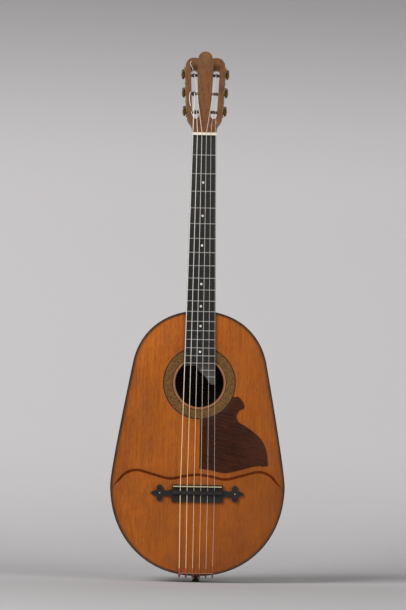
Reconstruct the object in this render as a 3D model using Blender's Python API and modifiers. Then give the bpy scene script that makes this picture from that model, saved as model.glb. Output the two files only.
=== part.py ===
"""Hawaiian guitar: a pear-shaped flat-back body, a long neck and a slotted head with six geared machines.

Metres. +Z runs up the neck, the soundboard faces -Y, and the bass side is at -X.
Heights are measured from the body's lower rim, and one empty lifts the whole guitar onto its end button.
"""

import math

import bmesh
import bpy
import numpy as np
from mathutils import Matrix, Vector
from mathutils.geometry import interpolate_bezier

# Clearances
SEAT_GAP = 0.0003
RUN_GAP = 0.0002
EMBED = 0.001

# Body outline, seen from the front
BODY_LENGTH = 0.4835
BODY_HALF_WIDTH = 0.159
WIDEST_Z = 0.164
SHOULDER_X = 0.1216
SHOULDER_Z = 0.388
SHOULDER_SLOPE = 0.194
TAIL_REACH = 0.0958
BELLY_LOW_REACH = 0.0922
BELLY_HIGH_REACH = 0.0233
SHOULDER_LOW_REACH = 0.0782
SHOULDER_HIGH_REACH = 0.0597
TOP_REACH = 0.0619
OUTLINE_STEPS = 9

# Body depth and walls
DEPTH_AT_TAIL = 0.088
DEPTH_TAPER = 0.008
TOP_THICKNESS = 0.0028
DECK_STEP = 0.0015
BACK_THICKNESS = 0.0028
SIDE_THICKNESS = 0.002
BINDING_WIDTH = 0.0022
LINING_WIDTH = 0.005
LINING_HEIGHT = 0.011
LINING_MARGIN = 0.047
BRACE_WIDTH = 0.008
BRACE_HEIGHT = 0.011
BRACE_SCALLOP = 0.03
BRACE_TIP_HEIGHT = 0.002
UPPER_BRACE_REACH = 0.075
LOWER_BRACE_REACH = 0.120
BRIDGE_PLATE_REACH = 0.095
BRIDGE_PLATE_WIDTH = 0.036
BRIDGE_PLATE_THICKNESS = 0.0035
BACK_BRACE_PLACES = (0.09, 0.22, 0.36)

# The step across the soundboard, from the centre line outwards (x, height over the string seat)
WAVE = [
    (0.0, 0.026), (0.024, 0.023), (0.050, 0.018), (0.080, 0.025),
    (0.111, 0.0325), (0.134, 0.025), (0.150, 0.006), (0.175, -0.026),
]

# Soundhole and the rings round it
HOLE_OVER_SADDLE = 0.191
HOLE_RADIUS = 0.044
RING_WIDTH = 0.0045
ROSETTE_WIDTH = 0.0172
ROSETTE_DEPTH = 0.0012
HOLE_STEPS = 36

# Pickguard on the treble side, with its points as shares of its drop below the soundhole's centre
GUARD_THICKNESS = 0.001
GUARD_EDGE_X = 0.003
GUARD_DROP = 0.149
GUARD_MARGIN = 0.0095
GUARD_LOBE = [(0.436, 0.166), (0.480, 0.162), (0.530, 0.215), (0.556, 0.268), (0.550, 0.302)]
GUARD_NOTCH = [
    (0.500, 0.322), (0.460, 0.383), (0.472, 0.443), (0.507, 0.483), (0.604, 0.540),
    (0.745, 0.651), (0.822, 0.779), (0.850, 0.933), (0.854, 1.0),
]

# Neck, fingerboard and nut
SADDLE_BELOW_TOP = 0.3225
SCALE_LENGTH = 0.642
NUT_HALF_WIDTH = 0.02225
NUT_THICKNESS = 0.005
BOARD_HALF_WIDTH_NUT = 0.02175
BOARD_HALF_WIDTH_TWELFTH = 0.02685
BOARD_THICKNESS = 0.005
BOARD_BASS_END = 0.0307
BOARD_TREBLE_END = -0.0026
NECK_ROUNDNESS = 0.85
NECK_STEPS = 16
HEEL_DEPTH = 0.079
HEEL_HEIGHT = 0.095
HEEL_CAP_HEIGHT = 0.008
HEEL_SWEEP = 0.62
HEEL_PINCH = 0.5
TENON_HALF_WIDTH = 0.009
TENON_DEPTH = 0.056
TENON_LENGTH = 0.014
NECK_BLOCK_LENGTH = 0.045
NECK_BLOCK_HALF_WIDTH = 0.035
FRET_COUNT = 20
FRET_WIDTH = 0.0024
FRET_HEIGHT = 0.0011

# Head
HEAD_TILT = math.radians(15.0)
HEAD_THICKNESS = 0.015
HEAD_TOP = 0.1418
HEAD_HALF_WIDTH_LOW = 0.0319
HEAD_HALF_WIDTH_HIGH = 0.0364
CHEEK_LOW = 0.0269
CHEEK_HIGH = 0.1242
CREST_RADIUS = 0.0128
SLOT_WIDTH = 0.0118
SLOT_INSET = 0.01564
SLOT_LOW = 0.0265
SLOT_HIGH = 0.1207
RAMP_LOW_SLOPE = 0.30
RAMP_HIGH_SLOPE = 0.45
RAMP_LOW_START = 0.0145
RAMP_HIGH_START = 0.1350

# Geared machines
MACHINE_SPACING = 0.035
MIDDLE_MACHINE = 0.0749
ROLLER_RADIUS = 0.00275
ROLLER_TIP = 0.004
PLATE_THICKNESS = 0.0012
PLATE_HALF_WIDTH = 0.0068
PLATE_END_MARGIN = 0.0085
GEAR_TEETH = 14
GEAR_RADIUS = 0.00635
GEAR_ROOT_RADIUS = 0.0051
GEAR_WIDTH = 0.0028
GEAR_STANDOFF = 0.0046
GEAR_SCREW_RADIUS = 0.0022
GEAR_SCREW_HEAD = 0.0013
HUB_STEP = 0.0006
WORM_SPACING = 0.0082
WORM_RADIUS = 0.0028
WORM_TURNS = 3
THREAD_STEPS = 8
TOOTH_TIP = 0.0006
TOOTH_ROOT = 0.0012
SHAFT_RADIUS = 0.0015
COLLAR_STEP = 0.0008
LUG_OFFSET = 0.0050
LUG_THICKNESS = 0.0015
LUG_HALF_WIDTH = 0.0026
BUTTON_OFFSET = 0.0225
BUTTON_HALF_LENGTH = 0.0060
BUTTON_HALF_WIDTH = 0.0082
BUTTON_HALF_THICKNESS = 0.0034

# Bridge
BRIDGE_HALF_WIDTH = 0.0465
BRIDGE_BELOW_SADDLE = 0.0263
BRIDGE_OVER_SADDLE = 0.0053
BRIDGE_THICKNESS = 0.004
RIDGE_BELOW_SADDLE = 0.0135
RIDGE_WIDTH = 0.0072
RIDGE_HEIGHT = 0.0090
RIDGE_INSET = 0.0004
SADDLE_BLOCK_HEIGHT = 0.0055
SADDLE_HALF_WIDTH = 0.0445
SADDLE_THICKNESS = 0.002
SADDLE_SLOT_DEPTH = 0.002
SADDLE_OFFSET = 0.002
WING_NECK = 0.006
WING_NECK_END = 0.058
LOBE_X = 0.0686
LOBE_OFFSET = 0.0096
LOBE_RADIUS = 0.0056
WING_TIP_X = 0.0853
STRING_HOLE_HEIGHT = 0.0063

# Tail
TAIL_STRIP_Z = 0.005
TAIL_STRIP_HALF_WIDTH = 0.032
TAIL_STRIP_THICKNESS = 0.0018
TAIL_STRIP_HEIGHT = 0.002
TAIL_BLOCK_HALF_WIDTH = 0.042
TAIL_BLOCK_LENGTH = 0.022
PIN_RADIUS = 0.0011
PIN_HEAD_RADIUS = 0.0018
PIN_HEAD = 0.0007
PIN_REACH = 0.0054
PIN_INSET = 0.0037
BUTTON_RADIUS = 0.007
BUTTON_STAND = 0.012
BUTTON_STEM_RADIUS = 0.0032
BUTTON_STEM_LENGTH = 0.018

# Strings, thickest last: radius, and the machine that winds it (side, place up the head, wind offset)
STRING_ACTION = 0.0049
STRING_CLEAR = 0.0006
NUT_SPREAD = 0.0413
SADDLE_SPREAD = 0.0620
TAIL_SPREAD = 0.0606
STRING_RADII = [0.00017, 0.00022, 0.00031, 0.00041, 0.00054, 0.00068]
STRING_MACHINES = [
    (1, 0, 0.0024), (1, -1, -0.0005), (1, 1, 0.0010),
    (-1, 1, 0.0010), (-1, -1, -0.0005), (-1, 0, 0.0024),
]
WIND_TURNS = 2.25
WIND_STEPS = 16
WIND_GAP = 0.0005
HITCH_TURNS = 1.25
HITCH_STEPS = 8

# Planes and places that follow from the sizes
LOWER_DECK_Y = -DEPTH_AT_TAIL / 2
UPPER_DECK_Y = LOWER_DECK_Y - DECK_STEP
TOP_INSIDE_Y = LOWER_DECK_Y + TOP_THICKNESS
SIDE_FRONT_Y = TOP_INSIDE_Y + SEAT_GAP
BACK_INSIDE_TAIL_Y = LOWER_DECK_Y + DEPTH_AT_TAIL - BACK_THICKNESS
BOARD_BACK_Y = UPPER_DECK_Y - SEAT_GAP
BOARD_FRONT_Y = BOARD_BACK_Y - BOARD_THICKNESS
STRING_SEAT_Y = BOARD_FRONT_Y - STRING_ACTION
SADDLE_Z = BODY_LENGTH - SADDLE_BELOW_TOP
SADDLE_CENTRE_Z = SADDLE_Z + SADDLE_OFFSET
HOLE_Z = SADDLE_Z + HOLE_OVER_SADDLE
BOARD_BASS_END_Z = HOLE_Z + BOARD_BASS_END
BOARD_TREBLE_END_Z = HOLE_Z + BOARD_TREBLE_END
NUT_Z = SADDLE_Z + SCALE_LENGTH
HEAD_Z = NUT_Z + NUT_THICKNESS
RING_RADIUS = HOLE_RADIUS + RING_WIDTH
ROSETTE_RADIUS = RING_RADIUS + SEAT_GAP + ROSETTE_WIDTH
BRIDGE_BACK_Y = LOWER_DECK_Y - SEAT_GAP
BRIDGE_LOW_Z = SADDLE_Z - BRIDGE_BELOW_SADDLE
BRIDGE_HIGH_Z = SADDLE_Z + BRIDGE_OVER_SADDLE
RIDGE_LOW_Z = SADDLE_Z - RIDGE_BELOW_SADDLE
RIDGE_HIGH_Z = RIDGE_LOW_Z + RIDGE_WIDTH
BRIDGE_MIDDLE_Z = (BRIDGE_LOW_Z + BRIDGE_HIGH_Z) / 2
STRING_HOLE_Y = BRIDGE_BACK_Y - STRING_HOLE_HEIGHT
TAIL_STRIP_TOP_Y = LOWER_DECK_Y - SEAT_GAP - TAIL_STRIP_HEIGHT
PIN_Y = TOP_INSIDE_Y + PIN_INSET
GEAR_PITCH_RADIUS = WORM_SPACING - (WORM_RADIUS + WORM_SPACING - GEAR_RADIUS) / 2
WORM_PITCH = 2 * math.pi * GEAR_PITCH_RADIUS / GEAR_TEETH
CHEEK_SLANT = math.atan2(HEAD_HALF_WIDTH_HIGH - HEAD_HALF_WIDTH_LOW, CHEEK_HIGH - CHEEK_LOW)
CHEEK_X = HEAD_HALF_WIDTH_LOW + math.tan(CHEEK_SLANT) * (MIDDLE_MACHINE - CHEEK_LOW)
WIDE = 0.4

# Local frames: a flat outline drawn in X and Y faces the front, the side or the top
FRONT = Matrix.Rotation(math.pi / 2, 4, "X")
SIDE = Matrix(((0, 0, 1, 0), (1, 0, 0, 0), (0, 1, 0, 0), (0, 0, 0, 1)))
PLAN = Matrix.Identity(4)
TURNED_ALONG_Y = Matrix(((0, 1, 0, 0), (0, 0, 1, 0), (1, 0, 0, 0), (0, 0, 0, 1)))
TURNED_ALONG_X = Matrix.Rotation(math.pi / 2, 4, "Y")
BACK_TILT = math.atan2(DEPTH_TAPER, BODY_LENGTH)
BACK_FRAME = Matrix.Translation((0, BACK_INSIDE_TAIL_Y, 0)) @ Matrix.Rotation(BACK_TILT, 4, "X")
HEAD_FRAME = Matrix.Translation((0, UPPER_DECK_Y, HEAD_Z)) @ Matrix.Rotation(-HEAD_TILT, 4, "X")

# Colour, roughness and metallic value of each material
MATERIALS = {
    "top_wood": ((0.39, 0.115, 0.028), 0.35, 0.0),
    "side_wood": ((0.10, 0.035, 0.014), 0.35, 0.0),
    "inner_wood": ((0.55, 0.36, 0.19), 0.7, 0.0),
    "binding_wood": ((0.022, 0.013, 0.009), 0.4, 0.0),
    "ring_wood": ((0.46, 0.19, 0.055), 0.35, 0.0),
    "rosette_wood": ((0.21, 0.10, 0.031), 0.35, 0.0),
    "guard_wood": ((0.040, 0.016, 0.011), 0.3, 0.0),
    "neck_wood": ((0.165, 0.075, 0.034), 0.4, 0.0),
    "ebony": ((0.022, 0.021, 0.020), 0.4, 0.0),
    "bone": ((0.72, 0.66, 0.53), 0.4, 0.0),
    "fret_metal": ((0.62, 0.60, 0.55), 0.3, 1.0),
    "plain_string": ((0.75, 0.74, 0.70), 0.25, 1.0),
    "wound_string": ((0.72, 0.52, 0.34), 0.35, 1.0),
    "machine_brass": ((0.42, 0.29, 0.11), 0.35, 1.0),
    "machine_steel": ((0.16, 0.14, 0.12), 0.4, 1.0),
    "roller_steel": ((0.08, 0.075, 0.07), 0.4, 1.0),
}


def clear_scene():
    for obj in list(bpy.data.objects):
        bpy.data.objects.remove(obj, do_unlink=True)


def new_collection(name):
    collection = bpy.data.collections.new(name)
    bpy.context.scene.collection.children.link(collection)
    return collection


def make_materials():
    for name, (colour, roughness, metallic) in MATERIALS.items():
        material = bpy.data.materials.new(name)
        material.use_nodes = True
        shader = material.node_tree.nodes["Principled BSDF"]
        shader.inputs["Base Color"].default_value = (*colour, 1.0)
        shader.inputs["Roughness"].default_value = roughness
        shader.inputs["Metallic"].default_value = metallic
        material.diffuse_color = (*colour, 1.0)


# Points along curves

def bezier(start, handle_a, handle_b, end, steps=OUTLINE_STEPS):
    points = interpolate_bezier(*(Vector((*p, 0.0)) for p in (start, handle_a, handle_b, end)), steps + 1)
    return [(p.x, p.y) for p in points]


def arc(centre, radius, start, end, steps):
    """Points on a circle from one angle to another, in degrees."""
    angles = np.radians(np.linspace(start, end, steps + 1))
    return [(centre[0] + radius * math.cos(a), centre[1] + radius * math.sin(a)) for a in angles]


def hole_circle(radius):
    """A circle round the soundhole's centre."""
    return arc((0, HOLE_Z), radius, 0.0, 360.0, HOLE_STEPS)[:-1]


def smooth_through(points, steps=4):
    """A Catmull-Rom curve through the points, with its ends at the first and last."""
    p = [np.array(q) for q in (points[0], *points, points[-1])]
    out = []
    for a, b, c, d in zip(p, p[1:], p[2:], p[3:]):
        for t in np.linspace(0.0, 1.0, steps, endpoint=False):
            bend = (2 * a - 5 * b + 4 * c - d) * t**2
            twist = (3 * b - a - 3 * c + d) * t**3
            out.append(tuple((2 * b + (c - a) * t + bend + twist) / 2))
    return out + [tuple(points[-1])]


def mirrored(points):
    """The points in reverse order on the other side of the centre line."""
    return [(-x, z) for x, z in reversed(points)]


def half_outline(inset=0.0):
    """The treble half of the body's outline from tail to top, moved inwards by the inset."""
    run = bezier((0, 0), (TAIL_REACH, 0), (BODY_HALF_WIDTH, WIDEST_Z - BELLY_LOW_REACH),
                 (BODY_HALF_WIDTH, WIDEST_Z))
    run += bezier((BODY_HALF_WIDTH, WIDEST_Z), (BODY_HALF_WIDTH, WIDEST_Z + BELLY_HIGH_REACH),
                  (SHOULDER_X + SHOULDER_SLOPE * SHOULDER_LOW_REACH, SHOULDER_Z - SHOULDER_LOW_REACH),
                  (SHOULDER_X, SHOULDER_Z))[1:]
    run += bezier((SHOULDER_X, SHOULDER_Z),
                  (SHOULDER_X - SHOULDER_SLOPE * SHOULDER_HIGH_REACH, SHOULDER_Z + SHOULDER_HIGH_REACH),
                  (TOP_REACH, BODY_LENGTH), (0, BODY_LENGTH))[1:]
    points = np.array(run)
    along = np.gradient(points, axis=0)
    along[0], along[-1] = (1, 0), (-1, 0)
    along /= np.linalg.norm(along, axis=1)[:, None]
    inward = np.stack([-along[:, 1], along[:, 0]], axis=1)
    return [tuple(p) for p in points + inset * inward]


def full_outline(inset=0.0):
    half = half_outline(inset)
    return half + mirrored(half)[1:-1]


def rim_height(x):
    """Height of the body's lower edge at a distance from the centre line."""
    half = [p for p in half_outline() if p[1] <= WIDEST_Z]
    return float(np.interp(abs(x), [p[0] for p in half], [p[1] for p in half]))


def body_half_width(z):
    half = half_outline()
    return float(np.interp(z, [p[1] for p in half], [p[0] for p in half]))


def wave_line():
    half = smooth_through([(x, SADDLE_Z + rise) for x, rise in WAVE], 3)
    return mirrored(half)[:-1] + half


def board_half_width(z):
    """Half the fingerboard's width, which widens evenly from the nut."""
    slope = (BOARD_HALF_WIDTH_TWELFTH - BOARD_HALF_WIDTH_NUT) / (SCALE_LENGTH / 2)
    return BOARD_HALF_WIDTH_NUT + slope * (NUT_Z - z)


def fret_height_up(number):
    return SADDLE_Z + SCALE_LENGTH * 2 ** (-number / 12)


# Solids

def object_of(name, mesh, material=None):
    obj = bpy.data.objects.new(name, mesh)
    PARTS.objects.link(obj)
    if material:
        mesh.materials.clear()
        mesh.materials.append(bpy.data.materials[material])
    return obj


def as_mesh(source, matrix, name):
    """The evaluated mesh of an object, welded and moved by the matrix, in place of the object."""
    bpy.context.view_layer.update()
    graph = bpy.context.evaluated_depsgraph_get()
    mesh = bpy.data.meshes.new_from_object(source.evaluated_get(graph))
    mesh.name = name
    work = bmesh.new()
    work.from_mesh(mesh)
    bmesh.ops.remove_doubles(work, verts=work.verts, dist=1e-6)
    bmesh.ops.dissolve_degenerate(work, dist=1e-6, edges=work.edges)
    bmesh.ops.transform(work, matrix=matrix, verts=work.verts)
    bmesh.ops.recalc_face_normals(work, faces=work.faces)
    work.to_mesh(mesh)
    work.free()
    bpy.data.objects.remove(source, do_unlink=True)
    return mesh


def plate(name, loops, low, high, facing=FRONT, frame=PLAN, material=None):
    """A flat outline, with any holes as further loops, between two distances along the way it faces."""
    curve = bpy.data.curves.new(name, "CURVE")
    curve.dimensions = "2D"
    curve.fill_mode = "BOTH"
    curve.extrude = (high - low) / 2
    for loop in loops:
        spline = curve.splines.new("POLY")
        spline.points.add(len(loop) - 1)
        for point, (x, y) in zip(spline.points, loop):
            point.co = (x, y, 0, 1)
        spline.use_cyclic_u = True
    source = object_of(name, curve)
    normal = {id(FRONT): (0, 1, 0), id(SIDE): (1, 0, 0), id(PLAN): (0, 0, 1)}[id(facing)]
    middle = Matrix.Translation(Vector(normal) * (low + high) / 2)
    return object_of(name, as_mesh(source, frame @ middle @ facing, name), material)


def box(name, low, high, frame=PLAN, material=None):
    """A box between two corners."""
    work = bmesh.new()
    bmesh.ops.create_cube(work, size=1.0)
    size = [b - a for a, b in zip(low, high)]
    middle = [(a + b) / 2 for a, b in zip(low, high)]
    bmesh.ops.scale(work, vec=size, verts=work.verts)
    bmesh.ops.translate(work, vec=middle, verts=work.verts)
    bmesh.ops.transform(work, matrix=frame, verts=work.verts)
    mesh = bpy.data.meshes.new(name)
    work.to_mesh(mesh)
    work.free()
    return object_of(name, mesh, material)


def rod(name, start, end, radius, steps=16, frame=PLAN, material=None):
    """A straight round bar between two points."""
    a, b = Vector(start), Vector(end)
    turn = (b - a).to_track_quat("Z", "Y").to_matrix().to_4x4()
    work = bmesh.new()
    bmesh.ops.create_cone(work, cap_ends=True, segments=steps, radius1=radius, radius2=radius,
                          depth=(b - a).length)
    bmesh.ops.transform(work, matrix=frame @ Matrix.Translation((a + b) / 2) @ turn, verts=work.verts)
    mesh = bpy.data.meshes.new(name)
    work.to_mesh(mesh)
    work.free()
    return object_of(name, mesh, material)


def turned(name, profile, steps=24, frame=PLAN, material=None):
    """A solid turned about Z from a profile of (radius, height) that runs from top to bottom."""
    mesh = bpy.data.meshes.new(name)
    edges = [(i, i + 1) for i in range(len(profile) - 1)]
    mesh.from_pydata([(r, 0, z) for r, z in profile], edges, [])
    source = object_of(name, mesh)
    screw = source.modifiers.new("turn", "SCREW")
    screw.steps = steps
    screw.render_steps = steps
    screw.use_merge_vertices = True
    screw.merge_threshold = 1e-5
    return object_of(name, as_mesh(source, frame, name), material)


def boolean(obj, other, operation):
    """Cuts, joins or clips a part by another solid, which stays as a wire guide."""
    modifier = obj.modifiers.new(other.name, "BOOLEAN")
    modifier.operation = operation
    modifier.solver = "EXACT"
    modifier.object = other
    if other.name in PARTS.objects:
        PARTS.objects.unlink(other)
        CUTTERS.objects.link(other)
        other.hide_render = True
        other.display_type = "WIRE"
    return obj


def cut(obj, other):
    return boolean(obj, other, "DIFFERENCE")


def join(obj, other):
    return boolean(obj, other, "UNION")


def clip(obj, other):
    return boolean(obj, other, "INTERSECT")


def bevel(obj, width, segments=2, angle=40.0):
    modifier = obj.modifiers.new("rounded_edges", "BEVEL")
    modifier.width = width
    modifier.segments = segments
    modifier.limit_method = "ANGLE"
    modifier.angle_limit = math.radians(angle)
    return obj


def smooth_shaded(obj, angle=35.0):
    obj.data.shade_smooth()
    obj.data.set_sharp_from_angle(angle=math.radians(angle))
    return obj


# Body

def lower_deck_cutter():
    """Everything in front of the lower deck, below the wavy step."""
    line = wave_line()
    loop = [*line, (WIDE, -WIDE), (-WIDE, -WIDE)]
    return plate("lower_deck_cutter", [loop], UPPER_DECK_Y - 0.01, LOWER_DECK_Y)


def make_soundboard(deck_cutter):
    top = plate("soundboard", [full_outline(BINDING_WIDTH + SEAT_GAP)], UPPER_DECK_Y, TOP_INSIDE_Y,
                material="top_wood")
    cut(top, deck_cutter)
    channel = plate("rosette_channel", [
        hole_circle(ROSETTE_RADIUS + SEAT_GAP), hole_circle(RING_RADIUS),
    ], UPPER_DECK_Y - EMBED, UPPER_DECK_Y + ROSETTE_DEPTH + SEAT_GAP)
    cut(top, channel)
    hole = rod("soundhole", (0, UPPER_DECK_Y - EMBED, HOLE_Z), (0, TOP_INSIDE_Y + EMBED, HOLE_Z),
               RING_RADIUS + SEAT_GAP, steps=HOLE_STEPS)
    cut(top, hole)
    return top


def make_rings():
    plate("soundhole_ring", [hole_circle(RING_RADIUS), hole_circle(HOLE_RADIUS)],
          UPPER_DECK_Y, TOP_INSIDE_Y, material="ring_wood")
    plate("rosette", [hole_circle(ROSETTE_RADIUS), hole_circle(RING_RADIUS + 2 * SEAT_GAP)],
          UPPER_DECK_Y, UPPER_DECK_Y + ROSETTE_DEPTH, material="rosette_wood")


def make_binding(deck_cutter):
    ring = plate("binding", [full_outline(), full_outline(BINDING_WIDTH)], UPPER_DECK_Y, TOP_INSIDE_Y,
                 material="binding_wood")
    cut(ring, deck_cutter)


def loft(name, sections, material):
    """A solid through a row of closed sections that all have the same number of points."""
    work = bmesh.new()
    rings = [[work.verts.new(point) for point in section] for section in sections]
    for ring, following in zip(rings, rings[1:]):
        for i in range(len(ring)):
            j = (i + 1) % len(ring)
            work.faces.new((ring[i], ring[j], following[j], following[i]))
    work.faces.new(rings[0])
    work.faces.new(rings[-1])
    bmesh.ops.remove_doubles(work, verts=work.verts, dist=1e-6)
    bmesh.ops.recalc_face_normals(work, faces=work.faces)
    mesh = bpy.data.meshes.new(name)
    work.to_mesh(mesh)
    work.free()
    return object_of(name, mesh, material)


def back_inside_y(z):
    """Depth of the back's inner face at a height, less the seat gap."""
    return BACK_INSIDE_TAIL_Y - z * DEPTH_TAPER / BODY_LENGTH - SEAT_GAP


def back_cutter(name, gap):
    """Everything behind the back's inner face, less a gap."""
    return box(name, (-WIDE, -gap, -WIDE), (WIDE, 0.1, 2 * WIDE), frame=BACK_FRAME)


def make_side(name, side, cutters):
    """A bent side, thickened along its edges by the linings, which fade out before the end blocks."""
    outer = half_outline()
    wall = half_outline(SIDE_THICKNESS)
    lining = half_outline(SIDE_THICKNESS + LINING_WIDTH)
    sections = []
    for i, spots in enumerate(zip(outer, wall, lining)):
        near = outer[max(i - 1, 0)][0], outer[min(i + 1, len(outer) - 1)][0]
        (x0, z0), (x1, z1), (x2, z2) = spots if min(near) > LINING_MARGIN else (spots[0], spots[1], spots[1])
        x0, x1, x2 = (side * max(x, SEAT_GAP / 2) for x in (x0, x1, x2))
        front = SIDE_FRONT_Y
        sections.append([
            (x0, front, z0), (x0, back_inside_y(z0), z0), (x2, back_inside_y(z2), z2),
            (x2, back_inside_y(z2) - LINING_HEIGHT, z2), (x1, back_inside_y(z1) - LINING_HEIGHT, z1),
            (x1, front + LINING_HEIGHT, z1), (x2, front + LINING_HEIGHT, z2), (x2, front, z2),
        ])
    body = loft(name, sections, "side_wood")
    for cutter in cutters:
        cut(body, cutter)


def make_back():
    back = plate("back", [full_outline()], 0.0, BACK_THICKNESS, frame=BACK_FRAME, material="side_wood")
    for number, z in enumerate(BACK_BRACE_PLACES, start=1):
        reach = body_half_width(z) - SIDE_THICKNESS - LINING_WIDTH - 0.006
        brace = box(f"back_brace_{number}", (-reach, -BRACE_HEIGHT, z - BRACE_WIDTH / 2),
                    (reach, EMBED, z + BRACE_WIDTH / 2), frame=BACK_FRAME)
        join(back, brace)


def make_top_brace(name, z, reach, width=BRACE_WIDTH, height=BRACE_HEIGHT):
    """A bar glued across the soundboard's inner face, with scalloped ends."""
    low = SIDE_FRONT_Y + height
    tip = SIDE_FRONT_Y + BRACE_TIP_HEIGHT
    inner = reach - BRACE_SCALLOP
    profile = [
        (-reach, SIDE_FRONT_Y), (reach, SIDE_FRONT_Y), (reach, tip), (inner, low), (-inner, low),
        (-reach, tip),
    ]
    plate(name, [profile], z - width / 2, z + width / 2, facing=PLAN, material="inner_wood")


def inner_space(name):
    """The room inside the sides, between the soundboard and the back."""
    room = plate(name, [full_outline(SIDE_THICKNESS + SEAT_GAP)], SIDE_FRONT_Y, BACK_INSIDE_TAIL_Y + 0.01)
    return cut(room, back_cutter(name + "_back", SEAT_GAP))


def make_neck_block(tenon_cutter):
    low = BODY_LENGTH - NECK_BLOCK_LENGTH
    block = box("neck_block", (-NECK_BLOCK_HALF_WIDTH, SIDE_FRONT_Y - EMBED, low),
                (NECK_BLOCK_HALF_WIDTH, BACK_INSIDE_TAIL_Y + EMBED, BODY_LENGTH + EMBED),
                material="inner_wood")
    clip(block, inner_space("neck_block_room"))
    cut(block, tenon_cutter)


def string_places():
    """The strings' x at the nut, the saddle and the tail, from the treble side to the bass side."""
    places = []
    for number in range(len(STRING_RADII)):
        share = 0.5 - number / (len(STRING_RADII) - 1)
        places.append((share * NUT_SPREAD, share * SADDLE_SPREAD, share * TAIL_SPREAD))
    return places


def make_tail_block(stem_cutter):
    """The block that takes the end button, with the hitch pins driven into it."""
    block = box("tail_block", (-TAIL_BLOCK_HALF_WIDTH, SIDE_FRONT_Y - EMBED, -EMBED),
                (TAIL_BLOCK_HALF_WIDTH, BACK_INSIDE_TAIL_Y + EMBED, TAIL_BLOCK_LENGTH),
                material="inner_wood")
    clip(block, inner_space("tail_block_room"))
    cut(block, stem_cutter)
    for number, (_, _, x) in enumerate(string_places(), start=1):
        end = rim_height(x) - PIN_REACH
        profile = [(0, end + 0.02), (PIN_RADIUS, end + 0.02), (PIN_RADIUS, end + PIN_HEAD),
                   (PIN_HEAD_RADIUS, end + PIN_HEAD), (PIN_HEAD_RADIUS, end), (0, end)]
        join(block, turned(f"hitch_pin_{number}", profile, steps=8,
                           frame=Matrix.Translation((x, PIN_Y, 0))))


def pin_hole(number, x):
    low = rim_height(x) - EMBED
    high = low + 3 * SIDE_THICKNESS
    return rod(f"pin_hole_{number}", (x, PIN_Y, low), (x, PIN_Y, high), PIN_RADIUS + 2 * SEAT_GAP, steps=8)


def make_end_button():
    """A turned button whose flat end the guitar stands on, with its stem in the tail block."""
    reach = BUTTON_RADIUS
    profile = [
        (0, BUTTON_STEM_LENGTH), (BUTTON_STEM_RADIUS, BUTTON_STEM_LENGTH), (BUTTON_STEM_RADIUS, -SEAT_GAP),
        (reach * 0.8, -SEAT_GAP), (reach * 0.8, -0.0015), (reach * 0.62, -0.0035), (reach * 0.6, -0.0055),
        (reach * 0.85, -0.0075), (reach, -0.0095), (reach * 0.92, -BUTTON_STAND + 0.0008),
        (reach * 0.7, -BUTTON_STAND), (0, -BUTTON_STAND),
    ]
    smooth_shaded(turned("end_button", profile, steps=16, material="ebony"))


def make_tail_saddle():
    wide = TAIL_STRIP_HALF_WIDTH
    thick = TAIL_STRIP_THICKNESS / 2
    strip = box("tail_saddle", (-wide, TAIL_STRIP_TOP_Y, TAIL_STRIP_Z - thick),
                (wide, LOWER_DECK_Y - SEAT_GAP, TAIL_STRIP_Z + thick), material="bone")
    bevel(strip, 0.0004, segments=1)


def guard_points(shares):
    return [(across * GUARD_DROP, HOLE_Z - down * GUARD_DROP) for across, down in shares]


def make_pickguard():
    """The dark plate beside the soundhole, its lower edge following the step."""
    ring = ROSETTE_RADIUS + SEAT_GAP
    start = -math.degrees(math.acos(GUARD_EDGE_X / ring))
    along_ring = arc((0, HOLE_Z), ring, start, -21.0, 12)
    lobe = smooth_through(guard_points(GUARD_LOBE), 3)
    notch = smooth_through(guard_points(GUARD_NOTCH), 3)
    reach = GUARD_NOTCH[-1][0] * GUARD_DROP - GUARD_EDGE_X
    lower_edge = [p for p in wave_line()[::-1] if GUARD_EDGE_X < p[0] < reach]
    lower_edge = [(x, z + GUARD_MARGIN) for x, z in lower_edge]
    last = (GUARD_EDGE_X, lower_edge[-1][1])
    loop = along_ring + lobe + notch + lower_edge + [last]
    plate("pickguard", [loop], BOARD_BACK_Y - GUARD_THICKNESS, BOARD_BACK_Y, material="guard_wood")


# Neck and head

def head_outline():
    """The head seen square on, from the nut up to the round crest between its two shoulders."""
    half = [(NUT_HALF_WIDTH, EMBED), (NUT_HALF_WIDTH + 0.0004, 0.008)]
    half += bezier((NUT_HALF_WIDTH + 0.0004, 0.008), (0.0228, 0.016), (0.0300, 0.020),
                   (HEAD_HALF_WIDTH_LOW, CHEEK_LOW), 6)[1:]
    half += [(HEAD_HALF_WIDTH_HIGH, CHEEK_HIGH)]
    half += bezier((HEAD_HALF_WIDTH_HIGH, CHEEK_HIGH), (0.0366, 0.136), (0.0290, HEAD_TOP + 0.0012),
                   (0.0205, HEAD_TOP + 0.0006), 7)[1:]
    half += [(CREST_RADIUS + 0.0005, HEAD_TOP)]
    half += arc((0, HEAD_TOP), CREST_RADIUS, 0, 90, 8)
    return half[:-1] + [(0, HEAD_TOP + CREST_RADIUS)] + mirrored(half[:-1])


def side_frame(side):
    """At the middle machine on one edge of the head: X across the head, Y to its back, Z up its edge."""
    place = Matrix.Translation((side * CHEEK_X, HEAD_THICKNESS / 2, MIDDLE_MACHINE))
    return HEAD_FRAME @ place @ Matrix.Rotation(side * CHEEK_SLANT, 4, "Y")


def slot_cutter(side):
    frame = side_frame(side)
    x = -side * SLOT_INSET
    radius = SLOT_WIDTH / 2
    low = SLOT_LOW - MIDDLE_MACHINE + radius
    high = SLOT_HIGH - MIDDLE_MACHINE - radius
    loop = arc((x, high), radius, 0, 180, 8) + arc((x, low), radius, 180, 360, 8)
    return plate(f"slot_{side}", [loop], -HEAD_THICKNESS, HEAD_THICKNESS, frame=frame)


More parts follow.
